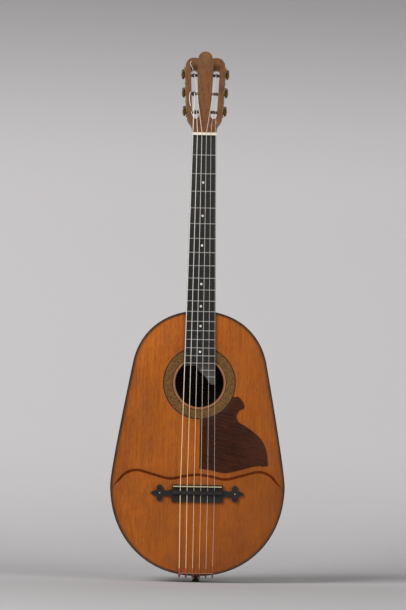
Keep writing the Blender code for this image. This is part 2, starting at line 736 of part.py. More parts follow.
def ramp_cutter(side, start, slope, up):
    """A round channel that leads from the head's face down into the end of a slot."""
    radius = SLOT_WIDTH / 2 - RUN_GAP
    angle = math.atan(slope)
    along = Vector((0, math.sin(angle), up * math.cos(angle)))
    out = Vector((0, -math.cos(angle), up * math.sin(angle)))
    foot = Vector((-side * SLOT_INSET, -HEAD_THICKNESS / 2, start - MIDDLE_MACHINE))
    axis = foot + out * radius
    name = f"ramp_{side}_{'low' if up > 0 else 'high'}"
    return rod(name, axis - along * 0.02, axis + along * 0.042, radius, steps=16, frame=side_frame(side))


def roller_hole(side, place):
    height = place * MACHINE_SPACING
    inner = SLOT_INSET + SLOT_WIDTH / 2 + ROLLER_TIP + SEAT_GAP
    return rod(f"roller_hole_{side}_{place}", (side * 0.01, 0, height), (-side * inner, 0, height),
               ROLLER_RADIUS + RUN_GAP, steps=12, frame=side_frame(side))


def neck_depth(z):
    """How far the neck reaches behind its front plane: the heel, its sweep, then the slim shaft."""
    slim = NECK_ROUNDNESS * board_half_width(z)
    share = (z - BODY_LENGTH - HEEL_CAP_HEIGHT) / (HEEL_HEIGHT - HEEL_CAP_HEIGHT)
    if share >= 1:
        return slim
    return slim + (HEEL_DEPTH - slim) * (1 - max(share, 0.0) ** HEEL_SWEEP) ** (1 / HEEL_SWEEP)


def neck_section(z):
    """Flat in front and round behind, drawn in to a narrow back where the neck is deep."""
    wide = board_half_width(z)
    deep = neck_depth(z)
    pinch = HEEL_PINCH * (deep - NECK_ROUNDNESS * wide) / HEEL_DEPTH
    section = []
    for angle in np.linspace(0, math.pi, NECK_STEPS + 1):
        x = wide * math.cos(angle) * (1 - pinch * math.sin(angle))
        section.append((x, UPPER_DECK_Y + deep * math.sin(angle), z))
    return section


def make_neck_bar():
    """The heel and the shaft in one tapering bar, up to where it runs into the head."""
    cap = BODY_LENGTH + HEEL_CAP_HEIGHT
    sweep = HEEL_HEIGHT - HEEL_CAP_HEIGHT
    heights = [BODY_LENGTH - 0.006, cap]
    heights += [cap + sweep * share for share in (0.01, 0.04, 0.09, 0.16, 0.26, 0.38, 0.53, 0.73, 1.0)]
    heights += [HEAD_Z + 0.014]
    return loft("neck", [neck_section(z) for z in heights], "neck_wood")


def tenon(name, gap):
    front = UPPER_DECK_Y + 0.008
    return box(name, (-TENON_HALF_WIDTH - gap, front - gap, BODY_LENGTH - TENON_LENGTH - gap),
               (TENON_HALF_WIDTH + gap, front + TENON_DEPTH + gap, BODY_LENGTH + 0.005))


def make_neck():
    neck = make_neck_bar()
    join(neck, plate("head", [head_outline()], -EMBED, HEAD_THICKNESS, frame=HEAD_FRAME))
    body = plate("body_face", [full_outline(-SEAT_GAP)], UPPER_DECK_Y - 0.01, BACK_INSIDE_TAIL_Y + 0.02)
    cut(neck, body)
    join(neck, tenon("neck_tenon", 0.0))
    cut(neck, box("head_front", (-WIDE, -0.04, -0.01), (WIDE, 0, 0.2), frame=HEAD_FRAME))
    for side in (-1, 1):
        cut(neck, slot_cutter(side))
        cut(neck, ramp_cutter(side, RAMP_LOW_START, RAMP_LOW_SLOPE, 1))
        cut(neck, ramp_cutter(side, RAMP_HIGH_START, RAMP_HIGH_SLOPE, -1))
        for place in (-1, 0, 1):
            cut(neck, roller_hole(side, place))


def board_end():
    """The fingerboard's lower end: square on the bass side, then swept down to the treble side."""
    sweep = smooth_through([
        (-0.0045, BOARD_BASS_END_Z), (-0.0007, BOARD_BASS_END_Z - 0.009),
        (0.0095, BOARD_TREBLE_END_Z + 0.0148), (0.0208, BOARD_TREBLE_END_Z),
    ], 5)
    return [(-board_half_width(BOARD_BASS_END_Z), BOARD_BASS_END_Z), *sweep,
            (board_half_width(BOARD_TREBLE_END_Z), BOARD_TREBLE_END_Z)]


def make_fingerboard():
    top = NUT_Z
    loop = [*board_end(), (board_half_width(top), top), (-board_half_width(top), top)]
    plate("fingerboard", [loop], BOARD_FRONT_Y, BOARD_BACK_Y, material="ebony")


def fret_span(z):
    """The fret's two ends: short of the swept end of the board where it cuts the fret's line."""
    left = -board_half_width(z)
    end = board_end()
    if z < BOARD_BASS_END_Z + FRET_WIDTH:
        sweep = sorted((height, x) for x, height in end[1:-1])
        heights, places = [height for height, _ in sweep], [x for _, x in sweep]
        left = float(np.interp(z - FRET_WIDTH, heights, places)) + FRET_WIDTH / 2
    return left + SEAT_GAP, board_half_width(z) - SEAT_GAP


def make_fret(number):
    z = fret_height_up(number)
    foot = BOARD_FRONT_Y - SEAT_GAP
    crown = [(foot - FRET_HEIGHT * math.sin(a), z - FRET_WIDTH / 2 * math.cos(a))
             for a in np.radians(np.linspace(0, 180, 7))]
    low, high = fret_span(z)
    plate(f"fret_{number:02d}", [crown], low, high, facing=SIDE, material="fret_metal")


def string_channels(name, low, high, seat_y, places):
    """Round grooves for the strings across the nut."""
    cutters = []
    for number, (x, radius) in enumerate(zip(places, STRING_RADII), start=1):
        y = seat_y - radius
        cutters.append(rod(f"{name}_{number}", (x, y, low), (x, y, high), radius + SEAT_GAP, steps=10))
    return cutters


def make_nut():
    crown = STRING_SEAT_Y - 0.00035
    nut = box("nut", (-NUT_HALF_WIDTH, crown, NUT_Z + SEAT_GAP), (NUT_HALF_WIDTH, BOARD_BACK_Y, HEAD_Z),
              material="bone")
    at_nut = [places[0] for places in string_places()]
    for cutter in string_channels("nut_groove", NUT_Z - EMBED, HEAD_Z + EMBED, STRING_SEAT_Y, at_nut):
        cut(nut, cutter)


# Bridge

def wing_outline():
    """The upper edge of the treble wing, from the block to the pointed tip."""
    top = BRIDGE_MIDDLE_Z + WING_NECK
    lobe = (LOBE_X, BRIDGE_MIDDLE_Z + LOBE_OFFSET)
    edge = smooth_through([(BRIDGE_HALF_WIDTH, top), (0.052, top - 0.0004), (WING_NECK_END, top - 0.0012),
                           (LOBE_X - LOBE_RADIUS, BRIDGE_MIDDLE_Z + LOBE_OFFSET - 0.0035)], 2)
    edge += arc(lobe, LOBE_RADIUS, 190, 0, 6)
    edge += smooth_through([
        (LOBE_X + 0.0048, BRIDGE_MIDDLE_Z + 0.0058), (LOBE_X + 0.0085, BRIDGE_MIDDLE_Z + 0.0045),
        (LOBE_X + 0.0125, BRIDGE_MIDDLE_Z + 0.0034), (WING_TIP_X, BRIDGE_MIDDLE_Z),
    ], 2)
    return edge


def make_bridge():
    upper = [(BRIDGE_HALF_WIDTH, BRIDGE_HIGH_Z), *wing_outline()]
    lower = [(x, 2 * BRIDGE_MIDDLE_Z - z) for x, z in reversed(upper[:-1])]
    half = upper + lower
    bridge = plate("bridge", [half + [(-x, z) for x, z in reversed(half)]], BRIDGE_BACK_Y - BRIDGE_THICKNESS,
                   BRIDGE_BACK_Y, material="ebony")
    wide = BRIDGE_HALF_WIDTH - RIDGE_INSET
    foot = BRIDGE_BACK_Y - BRIDGE_THICKNESS / 2
    top = BRIDGE_BACK_Y - RIDGE_HEIGHT
    ridge = box("bridge_ridge", (-wide, top, RIDGE_LOW_Z), (wide, foot, RIDGE_HIGH_Z))
    bevel(ridge, 0.0012)
    block = box("saddle_block", (-wide, BRIDGE_BACK_Y - SADDLE_BLOCK_HEIGHT, RIDGE_HIGH_Z - EMBED),
                (wide, foot, BRIDGE_HIGH_Z - RIDGE_INSET))
    join(bridge, ridge)
    join(bridge, block)
    wide = SADDLE_HALF_WIDTH + SEAT_GAP
    thick = SADDLE_THICKNESS / 2 + SEAT_GAP
    slot_floor = BRIDGE_BACK_Y - SADDLE_BLOCK_HEIGHT + SADDLE_SLOT_DEPTH
    cut(bridge, box("saddle_slot", (-wide, slot_floor - 0.02, SADDLE_CENTRE_Z - thick),
                    (wide, slot_floor, SADDLE_CENTRE_Z + thick)))
    for number, (_, x, _) in enumerate(string_places(), start=1):
        hole = max(STRING_RADII) + 2 * SEAT_GAP
        cut(bridge, rod(f"string_hole_{number}", (x, STRING_HOLE_Y, RIDGE_LOW_Z - 0.003),
                        (x, STRING_HOLE_Y, RIDGE_HIGH_Z + 0.003), hole, steps=8))


def make_saddle():
    low = BRIDGE_BACK_Y - SADDLE_BLOCK_HEIGHT + SADDLE_SLOT_DEPTH - SEAT_GAP
    thick = SADDLE_THICKNESS / 2
    saddle = box("saddle", (-SADDLE_HALF_WIDTH, STRING_SEAT_Y + SEAT_GAP, SADDLE_CENTRE_Z - thick),
                 (SADDLE_HALF_WIDTH, low, SADDLE_CENTRE_Z + thick), material="bone")
    bevel(saddle, 0.0005, segments=2)


# Machines

def make_plate(name, side):
    """One side's mounting plate, with a pair of pierced lugs for each worm shaft."""
    frame = side_frame(side)
    inner, outer = SEAT_GAP, SEAT_GAP + PLATE_THICKNESS
    low = -MACHINE_SPACING - PLATE_END_MARGIN
    high = MACHINE_SPACING + WORM_SPACING + PLATE_END_MARGIN - SHAFT_RADIUS
    wide = PLATE_HALF_WIDTH
    loop = arc((0, high - wide), wide, 0, 180, 5) + arc((0, low + wide), wide, 180, 360, 5)
    ends = sorted((side * inner, side * outer))
    body = plate(name, [loop], *ends, facing=SIDE, frame=frame, material="machine_brass")
    for place in (-1, 0, 1):
        worm_z = place * MACHINE_SPACING + WORM_SPACING
        for row in (-1, 1):
            y = sorted((row * LUG_OFFSET, row * (LUG_OFFSET + LUG_THICKNESS)))
            centre = (side * GEAR_STANDOFF, worm_z)
            turn = (-90, 90) if side > 0 else (90, 270)
            lug_loop = arc(centre, LUG_HALF_WIDTH, *turn, 3)
            foot = side * (inner + PLATE_THICKNESS / 2)
            lug_loop += [(foot, lug_loop[-1][1]), (foot, lug_loop[0][1])]
            join(body, plate(f"lug_{side}_{place}_{row}", [lug_loop], *y, frame=frame))
        cut(body, rod(f"worm_bore_{side}_{place}", (centre[0], -0.01, worm_z), (centre[0], 0.01, worm_z),
                      SHAFT_RADIUS + RUN_GAP, steps=8, frame=frame))
        height = place * MACHINE_SPACING
        cut(body, rod(f"roller_bore_{side}_{place}", (-side * 0.002, 0, height), (side * 0.004, 0, height),
                      ROLLER_RADIUS + RUN_GAP, steps=12, frame=frame))
    return body


def gear_outline():
    """Teeth with slanted flanks. A space between two teeth faces +Y."""
    loop = []
    root_half = TOOTH_ROOT / 2 / GEAR_ROOT_RADIUS
    tip_half = TOOTH_TIP / 2 / GEAR_RADIUS
    for tooth in range(GEAR_TEETH):
        middle = math.pi / 2 + (tooth + 0.5) * 2 * math.pi / GEAR_TEETH
        for radius, turn in ((GEAR_ROOT_RADIUS, -root_half), (GEAR_RADIUS, -tip_half),
                             (GEAR_RADIUS, tip_half), (GEAR_ROOT_RADIUS, root_half)):
            loop.append((radius * math.cos(middle + turn), radius * math.sin(middle + turn)))
    return loop


def roller_mesh():
    """A machine's cross bar and wheel about local X, with the head's edge at X = 0."""
    tip = -(SLOT_INSET + SLOT_WIDTH / 2 + ROLLER_TIP)
    face = GEAR_STANDOFF + GEAR_WIDTH / 2
    hub = ROLLER_RADIUS + HUB_STEP
    profile = [
        (0, face + GEAR_SCREW_HEAD), (GEAR_SCREW_RADIUS * 0.8, face + GEAR_SCREW_HEAD * 0.85),
        (GEAR_SCREW_RADIUS, face + GEAR_SCREW_HEAD * 0.4),
        (GEAR_SCREW_RADIUS, face - EMBED), (hub, face - EMBED),
        (hub, SEAT_GAP + PLATE_THICKNESS + RUN_GAP), (ROLLER_RADIUS, SEAT_GAP + PLATE_THICKNESS + RUN_GAP),
        (ROLLER_RADIUS, tip), (0, tip),
    ]
    bar = turned("roller_bar", profile, steps=8, frame=TURNED_ALONG_X)
    wheel = plate("roller_wheel", [gear_outline()], GEAR_STANDOFF - GEAR_WIDTH / 2,
                  GEAR_STANDOFF + GEAR_WIDTH / 2, facing=SIDE)
    lead = WORM_PITCH / (2 * math.pi * (WORM_SPACING - GEAR_PITCH_RADIUS))
    for vertex in wheel.data.vertices:
        turn = (vertex.co.x - GEAR_STANDOFF) * lead / GEAR_PITCH_RADIUS
        vertex.co = Matrix.Rotation(turn, 3, "X") @ vertex.co
    join(bar, wheel)
    return applied(bar)


def worm_thread():
    """The worm's helical thread about Z, its middle turn crossing -X at the origin."""
    inner = SHAFT_RADIUS - 0.0003
    slope = (TOOTH_ROOT - TOOTH_TIP) / (WORM_RADIUS - SHAFT_RADIUS) / 2
    foot = TOOTH_TIP / 2 + slope * (WORM_RADIUS - inner)
    half = TOOTH_TIP / 2
    mesh = bpy.data.meshes.new("thread_profile")
    ring = [(inner, 0, -foot), (WORM_RADIUS, 0, -half), (WORM_RADIUS, 0, half), (inner, 0, foot)]
    mesh.from_pydata(ring, [(0, 1), (1, 2), (2, 3), (3, 0)], [])
    source = object_of("thread_profile", mesh)
    screw = source.modifiers.new("helix", "SCREW")
    screw.screw_offset = WORM_PITCH
    screw.iterations = WORM_TURNS
    screw.steps = THREAD_STEPS
    screw.render_steps = THREAD_STEPS
    screw.use_merge_vertices = False
    down = Matrix.Translation((0, 0, -WORM_PITCH * WORM_TURNS / 2))
    thread = object_of("worm_thread", as_mesh(source, down, "worm_thread"))
    work = bmesh.new()
    work.from_mesh(thread.data)
    bmesh.ops.holes_fill(work, edges=[e for e in work.edges if e.is_boundary])
    bmesh.ops.recalc_face_normals(work, faces=work.faces)
    work.to_mesh(thread.data)
    work.free()
    return thread


def button_solid():
    """The oval thumb button, flattened across the head."""
    work = bmesh.new()
    bmesh.ops.create_uvsphere(work, u_segments=10, v_segments=6, radius=1.0)
    shape = Matrix.Diagonal((BUTTON_HALF_WIDTH, BUTTON_HALF_THICKNESS, BUTTON_HALF_LENGTH, 1))
    bmesh.ops.transform(work, matrix=Matrix.Translation((0, 0, BUTTON_OFFSET)) @ shape, verts=work.verts)
    mesh = bpy.data.meshes.new("button")
    work.to_mesh(mesh)
    work.free()
    return object_of("button", mesh)


def worm_mesh():
    """A machine's worm, shaft and button, turned about Z and then laid along local Y."""
    end = LUG_OFFSET + LUG_THICKNESS + RUN_GAP
    profile = [
        (0, BUTTON_OFFSET), (SHAFT_RADIUS, BUTTON_OFFSET), (SHAFT_RADIUS, end + 2 * COLLAR_STEP),
        (SHAFT_RADIUS + COLLAR_STEP, end + 1.5 * COLLAR_STEP), (SHAFT_RADIUS + COLLAR_STEP, end),
        (SHAFT_RADIUS, end), (SHAFT_RADIUS, -end), (SHAFT_RADIUS + COLLAR_STEP, -end),
        (SHAFT_RADIUS + COLLAR_STEP / 2, -end - COLLAR_STEP), (0, -end - COLLAR_STEP),
    ]
    shaft = turned("worm_shaft", profile, steps=8)
    join(shaft, worm_thread())
    join(shaft, button_solid())
    mesh = applied(shaft)
    mesh.transform(TURNED_ALONG_Y)
    return mesh


def applied(obj):
    """The evaluated mesh of an object whose pieces are all joined, with the object taken away."""
    return as_mesh(obj, PLAN, obj.name + "_mesh")


def make_machines():
    make_plate("machine_plate_left", -1)
    make_plate("machine_plate_right", 1)
    roller = roller_mesh()
    worm = worm_mesh()
    for side, word in ((-1, "left"), (1, "right")):
        frame = side_frame(side)
        for place in (-1, 0, 1):
            height = place * MACHINE_SPACING
            bar = object_of(f"roller_{word}_{place + 2}", roller, "roller_steel")
            flip = Matrix.Rotation(0 if side > 0 else math.pi, 4, "Z")
            bar.matrix_world = frame @ Matrix.Translation((0, 0, height)) @ flip
            key = object_of(f"worm_key_{word}_{place + 2}", worm, "machine_steel")
            key.matrix_world = frame @ Matrix.Translation((side * GEAR_STANDOFF, 0, height + WORM_SPACING))


# Strings

def winding(side, place, radius, offset, start):
    """The string's turns round its roller, beginning where its straight run meets them."""
    frame = side_frame(side)
    nut_end = frame.inverted() @ Vector(start)
    wind = ROLLER_RADIUS + SEAT_GAP + radius
    axis_z = place * MACHINE_SPACING
    dy, dz = nut_end.y, nut_end.z - axis_z
    first = math.atan2(dz, dy) - math.acos(wind / math.hypot(dy, dz))
    pitch = 2 * radius + WIND_GAP
    inner = SLOT_INSET - offset
    x_start = inner + WIND_TURNS * pitch / 2
    points = []
    for step in range(int(WIND_TURNS * WIND_STEPS) + 1):
        turns = step / WIND_STEPS
        angle = first - 2 * math.pi * turns
        x = -side * (x_start - turns * pitch)
        points.append(frame @ Vector((x, wind * math.cos(angle), axis_z + wind * math.sin(angle))))
    return points


def hitch_loop(x, radius):
    """The loop round the hitch pin, from its free end up to where the string leaves for the tail strip."""
    turn_radius = PIN_RADIUS + SEAT_GAP + radius
    top = rim_height(x) - STRING_CLEAR - radius
    pitch = 2 * radius + WIND_GAP
    points = []
    count = int(HITCH_TURNS * HITCH_STEPS)
    for step in range(count + 1):
        left = (count - step) / HITCH_STEPS
        angle = 2 * math.pi * left
        points.append((x + turn_radius * math.cos(angle), PIN_Y + turn_radius * math.sin(angle),
                       top - left * pitch))
    return points


def string_route(number):
    radius = STRING_RADII[number]
    at_nut, at_saddle, at_tail = string_places()[number]
    side, place, offset = STRING_MACHINES[number]
    rim = rim_height(at_tail)
    tail_y = TAIL_STRIP_TOP_Y - SEAT_GAP - radius
    seat_y = STRING_SEAT_Y - radius
    step_x = at_tail + PIN_RADIUS + SEAT_GAP + radius
    below = rim - STRING_CLEAR - radius
    route = hitch_loop(at_tail, radius)
    route += [
        (step_x, LOWER_DECK_Y + 2 * STRING_CLEAR, below),
        (step_x, LOWER_DECK_Y - STRING_CLEAR - radius / 2, below + STRING_CLEAR),
        (step_x, LOWER_DECK_Y - 0.0010 - radius, rim + STRING_CLEAR),
        (at_tail, tail_y, TAIL_STRIP_Z - STRING_CLEAR), (at_tail, tail_y, TAIL_STRIP_Z + STRING_CLEAR),
        (at_saddle, STRING_HOLE_Y, RIDGE_LOW_Z), (at_saddle, STRING_HOLE_Y, RIDGE_HIGH_Z + 0.0004),
        (at_saddle, seat_y, SADDLE_CENTRE_Z - 0.0007), (at_saddle, seat_y, SADDLE_CENTRE_Z + 0.0010),
        (at_nut, seat_y, NUT_Z - STRING_CLEAR), (at_nut, seat_y, HEAD_Z + STRING_CLEAR),
    ]
    return route + [tuple(p) for p in winding(side, place, radius, offset, route[-1])]


def least_gap(points, radius):
    """The least distance between a tube and itself, past the stretch next to each point."""
    spots = np.array(points)
    steps = np.linalg.norm(np.diff(spots, axis=0), axis=1)
    along = np.concatenate([[0.0], np.cumsum(steps)])
    apart = np.linalg.norm(spots[:, None] - spots[None], axis=2)
    far = np.abs(along[:, None] - along[None]) > 8 * radius + 0.004
    return float(apart[far].min() - 2 * radius)


def make_string(number):
    radius = STRING_RADII[number]
    route = string_route(number)
    name = f"string_{number + 1}"
    curve = bpy.data.curves.new(name, "CURVE")
    curve.dimensions = "3D"
    curve.bevel_depth = radius
    curve.bevel_resolution = 1
    curve.use_fill_caps = True
    spline = curve.splines.new("POLY")
    spline.points.add(len(route) - 1)
    for point, spot in zip(spline.points, route):
        point.co = (*spot, 1)
    material = "plain_string" if number < 2 else "wound_string"
    curve.materials.append(bpy.data.materials[material])
    PARTS.objects.link(bpy.data.objects.new(name, curve))
    print(f"{name}: least gap to itself {1000 * least_gap(route, radius):.2f} mm")


def lift_onto_button():
    """Parents everything to one empty, which stands the end button's face at the world's origin."""
    guitar = bpy.data.objects.new("guitar", None)
    PARTS.objects.link(guitar)
    guitar.location = (0, 0, BUTTON_STAND)
    for obj in [*PARTS.objects, *CUTTERS.objects]:
        if obj is not guitar:
            obj.parent = guitar


def main():
    make_materials()
    deck_cutter = lower_deck_cutter()
    make_soundboard(deck_cutter)
    make_rings()
    make_binding(deck_cutter)
    tenon_cutter = tenon("tenon_mortise", SEAT_GAP)
    stem = (0, 0, BUTTON_STEM_LENGTH + SEAT_GAP)
    stem_cutter = rod("stem_bore", (0, 0, -0.01), stem, BUTTON_STEM_RADIUS + SEAT_GAP)
    pins = [pin_hole(number, places[2]) for number, places in enumerate(string_places(), start=1)]
    side_cutters = [tenon_cutter, stem_cutter, *pins]
    make_side("side_left", -1, side_cutters)
    make_side("side_right", 1, side_cutters)
    make_back()
    make_top_brace("upper_brace", HOLE_Z + ROSETTE_RADIUS + BRACE_WIDTH, UPPER_BRACE_REACH)
    make_top_brace("lower_brace", HOLE_Z - ROSETTE_RADIUS - BRACE_WIDTH, LOWER_BRACE_REACH)
    make_top_brace("bridge_plate", BRIDGE_MIDDLE_Z, BRIDGE_PLATE_REACH,
                   width=BRIDGE_PLATE_WIDTH, height=BRIDGE_PLATE_THICKNESS)
    make_neck_block(tenon_cutter)
    make_tail_block(stem_cutter)
    make_end_button()
    make_tail_saddle()
    make_pickguard()
    make_neck()
    make_fingerboard()
    make_nut()
    for number in range(1, FRET_COUNT + 1):
        make_fret(number)
    make_bridge()
    make_saddle()
    make_machines()
    for number in range(len(STRING_RADII)):
        make_string(number)
    lift_onto_button()


clear_scene()
PARTS = new_collection("hawaiian_guitar")
CUTTERS = new_collection("cutters")
CUTTERS.hide_render = True
main()
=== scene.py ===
"""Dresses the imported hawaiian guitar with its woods, metals, strings and small fittings, on a plain stage.

Metres. +Z runs up the neck, the soundboard faces -Y, and the bass side is at -X.
"""

import contextlib
import math

import bmesh
import bpy
import numpy as np
from mathutils import Matrix, Vector
from mathutils.geometry import interpolate_bezier


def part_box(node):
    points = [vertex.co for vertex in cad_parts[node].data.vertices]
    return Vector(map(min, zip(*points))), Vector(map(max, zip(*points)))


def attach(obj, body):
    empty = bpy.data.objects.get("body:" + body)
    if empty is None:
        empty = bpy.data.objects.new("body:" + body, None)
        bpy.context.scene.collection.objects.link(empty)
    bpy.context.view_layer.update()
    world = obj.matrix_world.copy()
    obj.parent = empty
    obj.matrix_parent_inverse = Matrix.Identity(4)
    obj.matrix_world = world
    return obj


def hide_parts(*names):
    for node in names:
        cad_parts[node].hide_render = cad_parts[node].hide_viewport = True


bl_info = {
    "name": "Hawaiian guitar",
    "version": (1, 0, 0),
    "blender": (4, 5, 0),
    "location": "View3D > Sidebar > Guitar",
    "description": "Builds the looks of a hawaiian guitar round its packed model",
    "category": "Add Mesh",
}

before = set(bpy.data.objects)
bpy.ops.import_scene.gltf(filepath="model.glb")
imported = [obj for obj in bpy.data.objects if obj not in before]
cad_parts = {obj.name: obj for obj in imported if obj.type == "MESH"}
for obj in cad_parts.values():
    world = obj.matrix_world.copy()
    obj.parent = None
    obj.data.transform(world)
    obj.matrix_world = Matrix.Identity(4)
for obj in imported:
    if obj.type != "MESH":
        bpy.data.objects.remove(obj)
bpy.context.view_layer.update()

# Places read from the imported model
RIM_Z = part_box("side_left")[0].z
BODY_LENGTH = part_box("binding")[1].z - RIM_Z
BODY_HALF_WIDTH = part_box("binding")[1].x
UPPER_DECK_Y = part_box("soundboard")[0].y
TOP_INSIDE_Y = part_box("soundboard")[1].y
BOARD_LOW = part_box("fingerboard")[0]
NUT_LOW, NUT_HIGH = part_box("nut")
SADDLE_LOW, SADDLE_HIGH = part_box("saddle")
TAIL_LOW, TAIL_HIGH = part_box("tail_saddle")
BRIDGE_LOW, BRIDGE_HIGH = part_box("bridge")
HOLE_Z = (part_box("rosette")[0].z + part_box("rosette")[1].z) / 2
HOLE_RADIUS = 0.044
RING_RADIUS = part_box("soundhole_ring")[1].x
ROSETTE_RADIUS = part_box("rosette")[1].x

# Body
DECK_STEP = 0.0015
LOWER_DECK_Y = UPPER_DECK_Y + DECK_STEP
SEAT_GAP = 0.0003
BINDING_WIDTH = 0.0022
WIDEST = 0.164
SHOULDER = (0.1216, 0.388)
SHOULDER_SLOPE = 0.194
OUTLINE_REACHES = (0.0958, 0.0922, 0.0233, 0.0782, 0.0597, 0.0619)
OUTLINE_STEPS = 28
EDGE_EASE = 0.0004
EASED_ANGLE = math.radians(38.0)
COVE_END = 0.0045
COVE_THIN = 0.012
LINE_RISE = 0.00004
# Half of the wavy step, from the middle out: distance from the middle, height over the rim
WAVE = [
    (0.0, 0.187), (0.024, 0.184), (0.050, 0.179), (0.080, 0.186),
    (0.111, 0.1935), (0.134, 0.186), (0.150, 0.167), (0.175, 0.135),
]

# Board, frets and dots
SCALE_LENGTH = 0.642
SADDLE_Z = 0.161
FRET_COUNT = 20
DOT_FRETS = (3, 5, 7, 10, 12, 14, 17)
WING_DOT_X = 0.0686
WING_DOT_DEPTH = 0.004
WING_DOT_RISE = 0.0006

# Head and machines
HEAD_TILT = math.radians(15.0)
HEAD_THICKNESS = 0.015
HEAD_Z = NUT_HIGH.z
HEAD_HALF_WIDTH_LOW = 0.0319
HEAD_HALF_WIDTH_HIGH = 0.0364
CHEEK_LOW = 0.0269
CHEEK_HIGH = 0.1242
CHEEK_SLANT = math.atan2(HEAD_HALF_WIDTH_HIGH - HEAD_HALF_WIDTH_LOW, CHEEK_HIGH - CHEEK_LOW)
MIDDLE_MACHINE = 0.0749
CHEEK_X = HEAD_HALF_WIDTH_LOW + math.tan(CHEEK_SLANT) * (MIDDLE_MACHINE - CHEEK_LOW)
MACHINE_SPACING = 0.035
PLATE_FACE = 0.0015
# Places of the plate screws, in machine spacings up from the middle machine
PLATE_SCREWS = (-1.21, -0.42, 0.58, 1.44)
ROLLER_RADIUS = 0.00275
SLOT_INSET = 0.01564
GEAR_START = 0.0030
SLOT_TOP = 0.1207
SLOT_HOLLOW = 0.002
CREST_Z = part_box("neck")[1].z - 0.009
CREST_Y = UPPER_DECK_Y + math.tan(HEAD_TILT) * (CREST_Z - HEAD_Z)

# Middle of the keys' buttons, at KEY_X + KEY_LEAN * z on either side, and their start along the keys' axis
KEY_LEAN = 0.0479
KEY_X = -0.00393
KEY_AXIS = (0.0, math.cos(HEAD_TILT), -math.sin(HEAD_TILT))
BUTTON_START = -0.2322

# Strings from the thinnest: spreads, radii, the machine that winds each (side, place up the head from the
# middle machine, offset along the roller), and the course of a spare end in mm from the last turn
NUT_SPREAD = 0.0413
SADDLE_SPREAD = 0.0620
TAIL_SPREAD = 0.0606
STRING_ACTION = 0.0049
STRING_CLEAR = 0.0006
PLAIN_STRINGS = 2
STRING_RADII = [0.00017, 0.00022, 0.00031, 0.00041, 0.00054, 0.00068]
STRING_MACHINES = [
    (1, 0, 0.0024), (1, -1, -0.0005), (1, 1, 0.0010),
    (-1, 1, 0.0010), (-1, -1, -0.0005), (-1, 0, 0.0024),
]
STRING_ENDS = {
    3: [(0, 0, 0), (0.4, -3, 2), (0.2, -7, 6), (-1.6, -9.6, 10.5), (-3.8, -9.8, 14.5), (-4.0, -9.9, 17.5),
        (-2.8, -10, 20), (-1.4, -10.2, 21)],
    4: [(0, 0, 0), (-0.4, -2, 0.5), (-1.4, -4.4, -0.4), (-4.8, -8.2, -4), (-5.2, -9.3, -8),
        (-2.4, -9.6, -11.5), (1.4, -9.5, -12), (3.6, -9.4, -10)],
    5: [(0, 0, 0), (-0.1, -2, 0.6), (-0.8, -4.6, -0.2), (-3.2, -8.8, -2.4), (-5.0, -9.6, -8),
        (-5.6, -9.6, -16), (-5.0, -9.5, -24), (-3.6, -9.3, -29)],
}
WIND_TURNS = 2.25
WIND_STEPS = 40
WIND_GAP = 0.0005
HITCH_TURNS = 1.25
HITCH_STEPS = 24
STRING_SIDES = 10
PIN_RADIUS = 0.0011
PIN_INSET = 0.0037
STRING_HOLE_HEIGHT = 0.0063
RIDGE_LOW_Z = 0.1475
RIDGE_HIGH_Z = 0.1547
RIDGE_ROUND = 0.0004
TAIL_BEND = 0.0010
SADDLE_BEFORE = 0.0007
SADDLE_AFTER = 0.0010
WIRE_PITCH = 0.00042
SILK_PITCH = 0.0003
MAP_SLACK = 0.0001

# Stage
STAGE_MIDDLE = (0, 0, 0.5)
CAMERA_X = 0.0038
# Lamps: place, width and height, power in watts
LAMPS = {
    "key_lamp": ((-2.3, -2.6, 2.6), (2.0, 2.0), 124),
    "fill_lamp": ((2.6, -2.6, 1.4), (1.8, 2.2), 50),
}

FRONT = Matrix.Rotation(math.pi / 2, 4, "X")
LIFT = Matrix.Translation((0, 0, RIM_Z))
HEAD_FRAME = Matrix.Translation((0, UPPER_DECK_Y, HEAD_Z)) @ Matrix.Rotation(-HEAD_TILT, 4, "X")


def tone(red, green, blue):
    """A colour written as it looks on a screen, from 0 to 255, as the shaders need it."""
    return tuple((c / 255 / 12.92) if c < 10.3 else ((c / 255 + 0.055) / 1.055) ** 2.4
                 for c in (red, green, blue))


# Small dark places: painted shade in the hollows over the slots and at the soundhole's inner edge, a dark
# joint and line, grime for worn places, and the pale sky that the camera sees
SLOT_SHADE = tone(56, 28, 18)
JOINT_SHADE = tone(24, 12, 8)
RING_SHADE_AND_LINE = tone(92, 54, 30)
BONE_GRIME = tone(150, 120, 80)
BRASS_GRIME = tone(52, 38, 22)
GEAR_GRIME = tone(40, 32, 20)
STEEL_GRIME = tone(38, 32, 28)
ROLLER_GRIME = tone(24, 22, 20)
OPEN_SKY = tone(196, 194, 195)


def colour_setting(name, words, *screen):
    return bpy.props.FloatVectorProperty(name=name, description=words, subtype="COLOR", size=3,
                                         min=0.0, max=1.0, default=tone(*screen))


def length_setting(name, words, value):
    return bpy.props.FloatProperty(name=name, description=words, default=value, min=0.0, max=0.1, precision=5,
                                   unit="LENGTH")


class FittingSizes(bpy.types.PropertyGroup):
    fret_wire: length_setting("Fret wire", "Width of a fret's crown", 0.0017)
    fret_rise: length_setting("Fret rise", "Height of a fret over the board", 0.0011)
    board_dot: length_setting("Board dot", "Radius of a dot on the fingerboard", 0.0022)
    wing_dot: length_setting("Wing dot", "Radius of a dot on the bridge's wings", 0.0011)
    screw: length_setting("Screw", "Radius of a screw head on the machine plates", 0.0017)
    cove: length_setting("Cove", "Width of the dark hollow under the wavy step", 0.0046)
    edge_line: length_setting("Edge line", "Width of the brown line inside the edge strip", 0.0028)
    edge_shade: length_setting("Edge shade", "Reach of the darker varnish at the soundboard's edge", 0.016)
    silk: length_setting("Silk", "Length of the red silk on each string's end", 0.020)


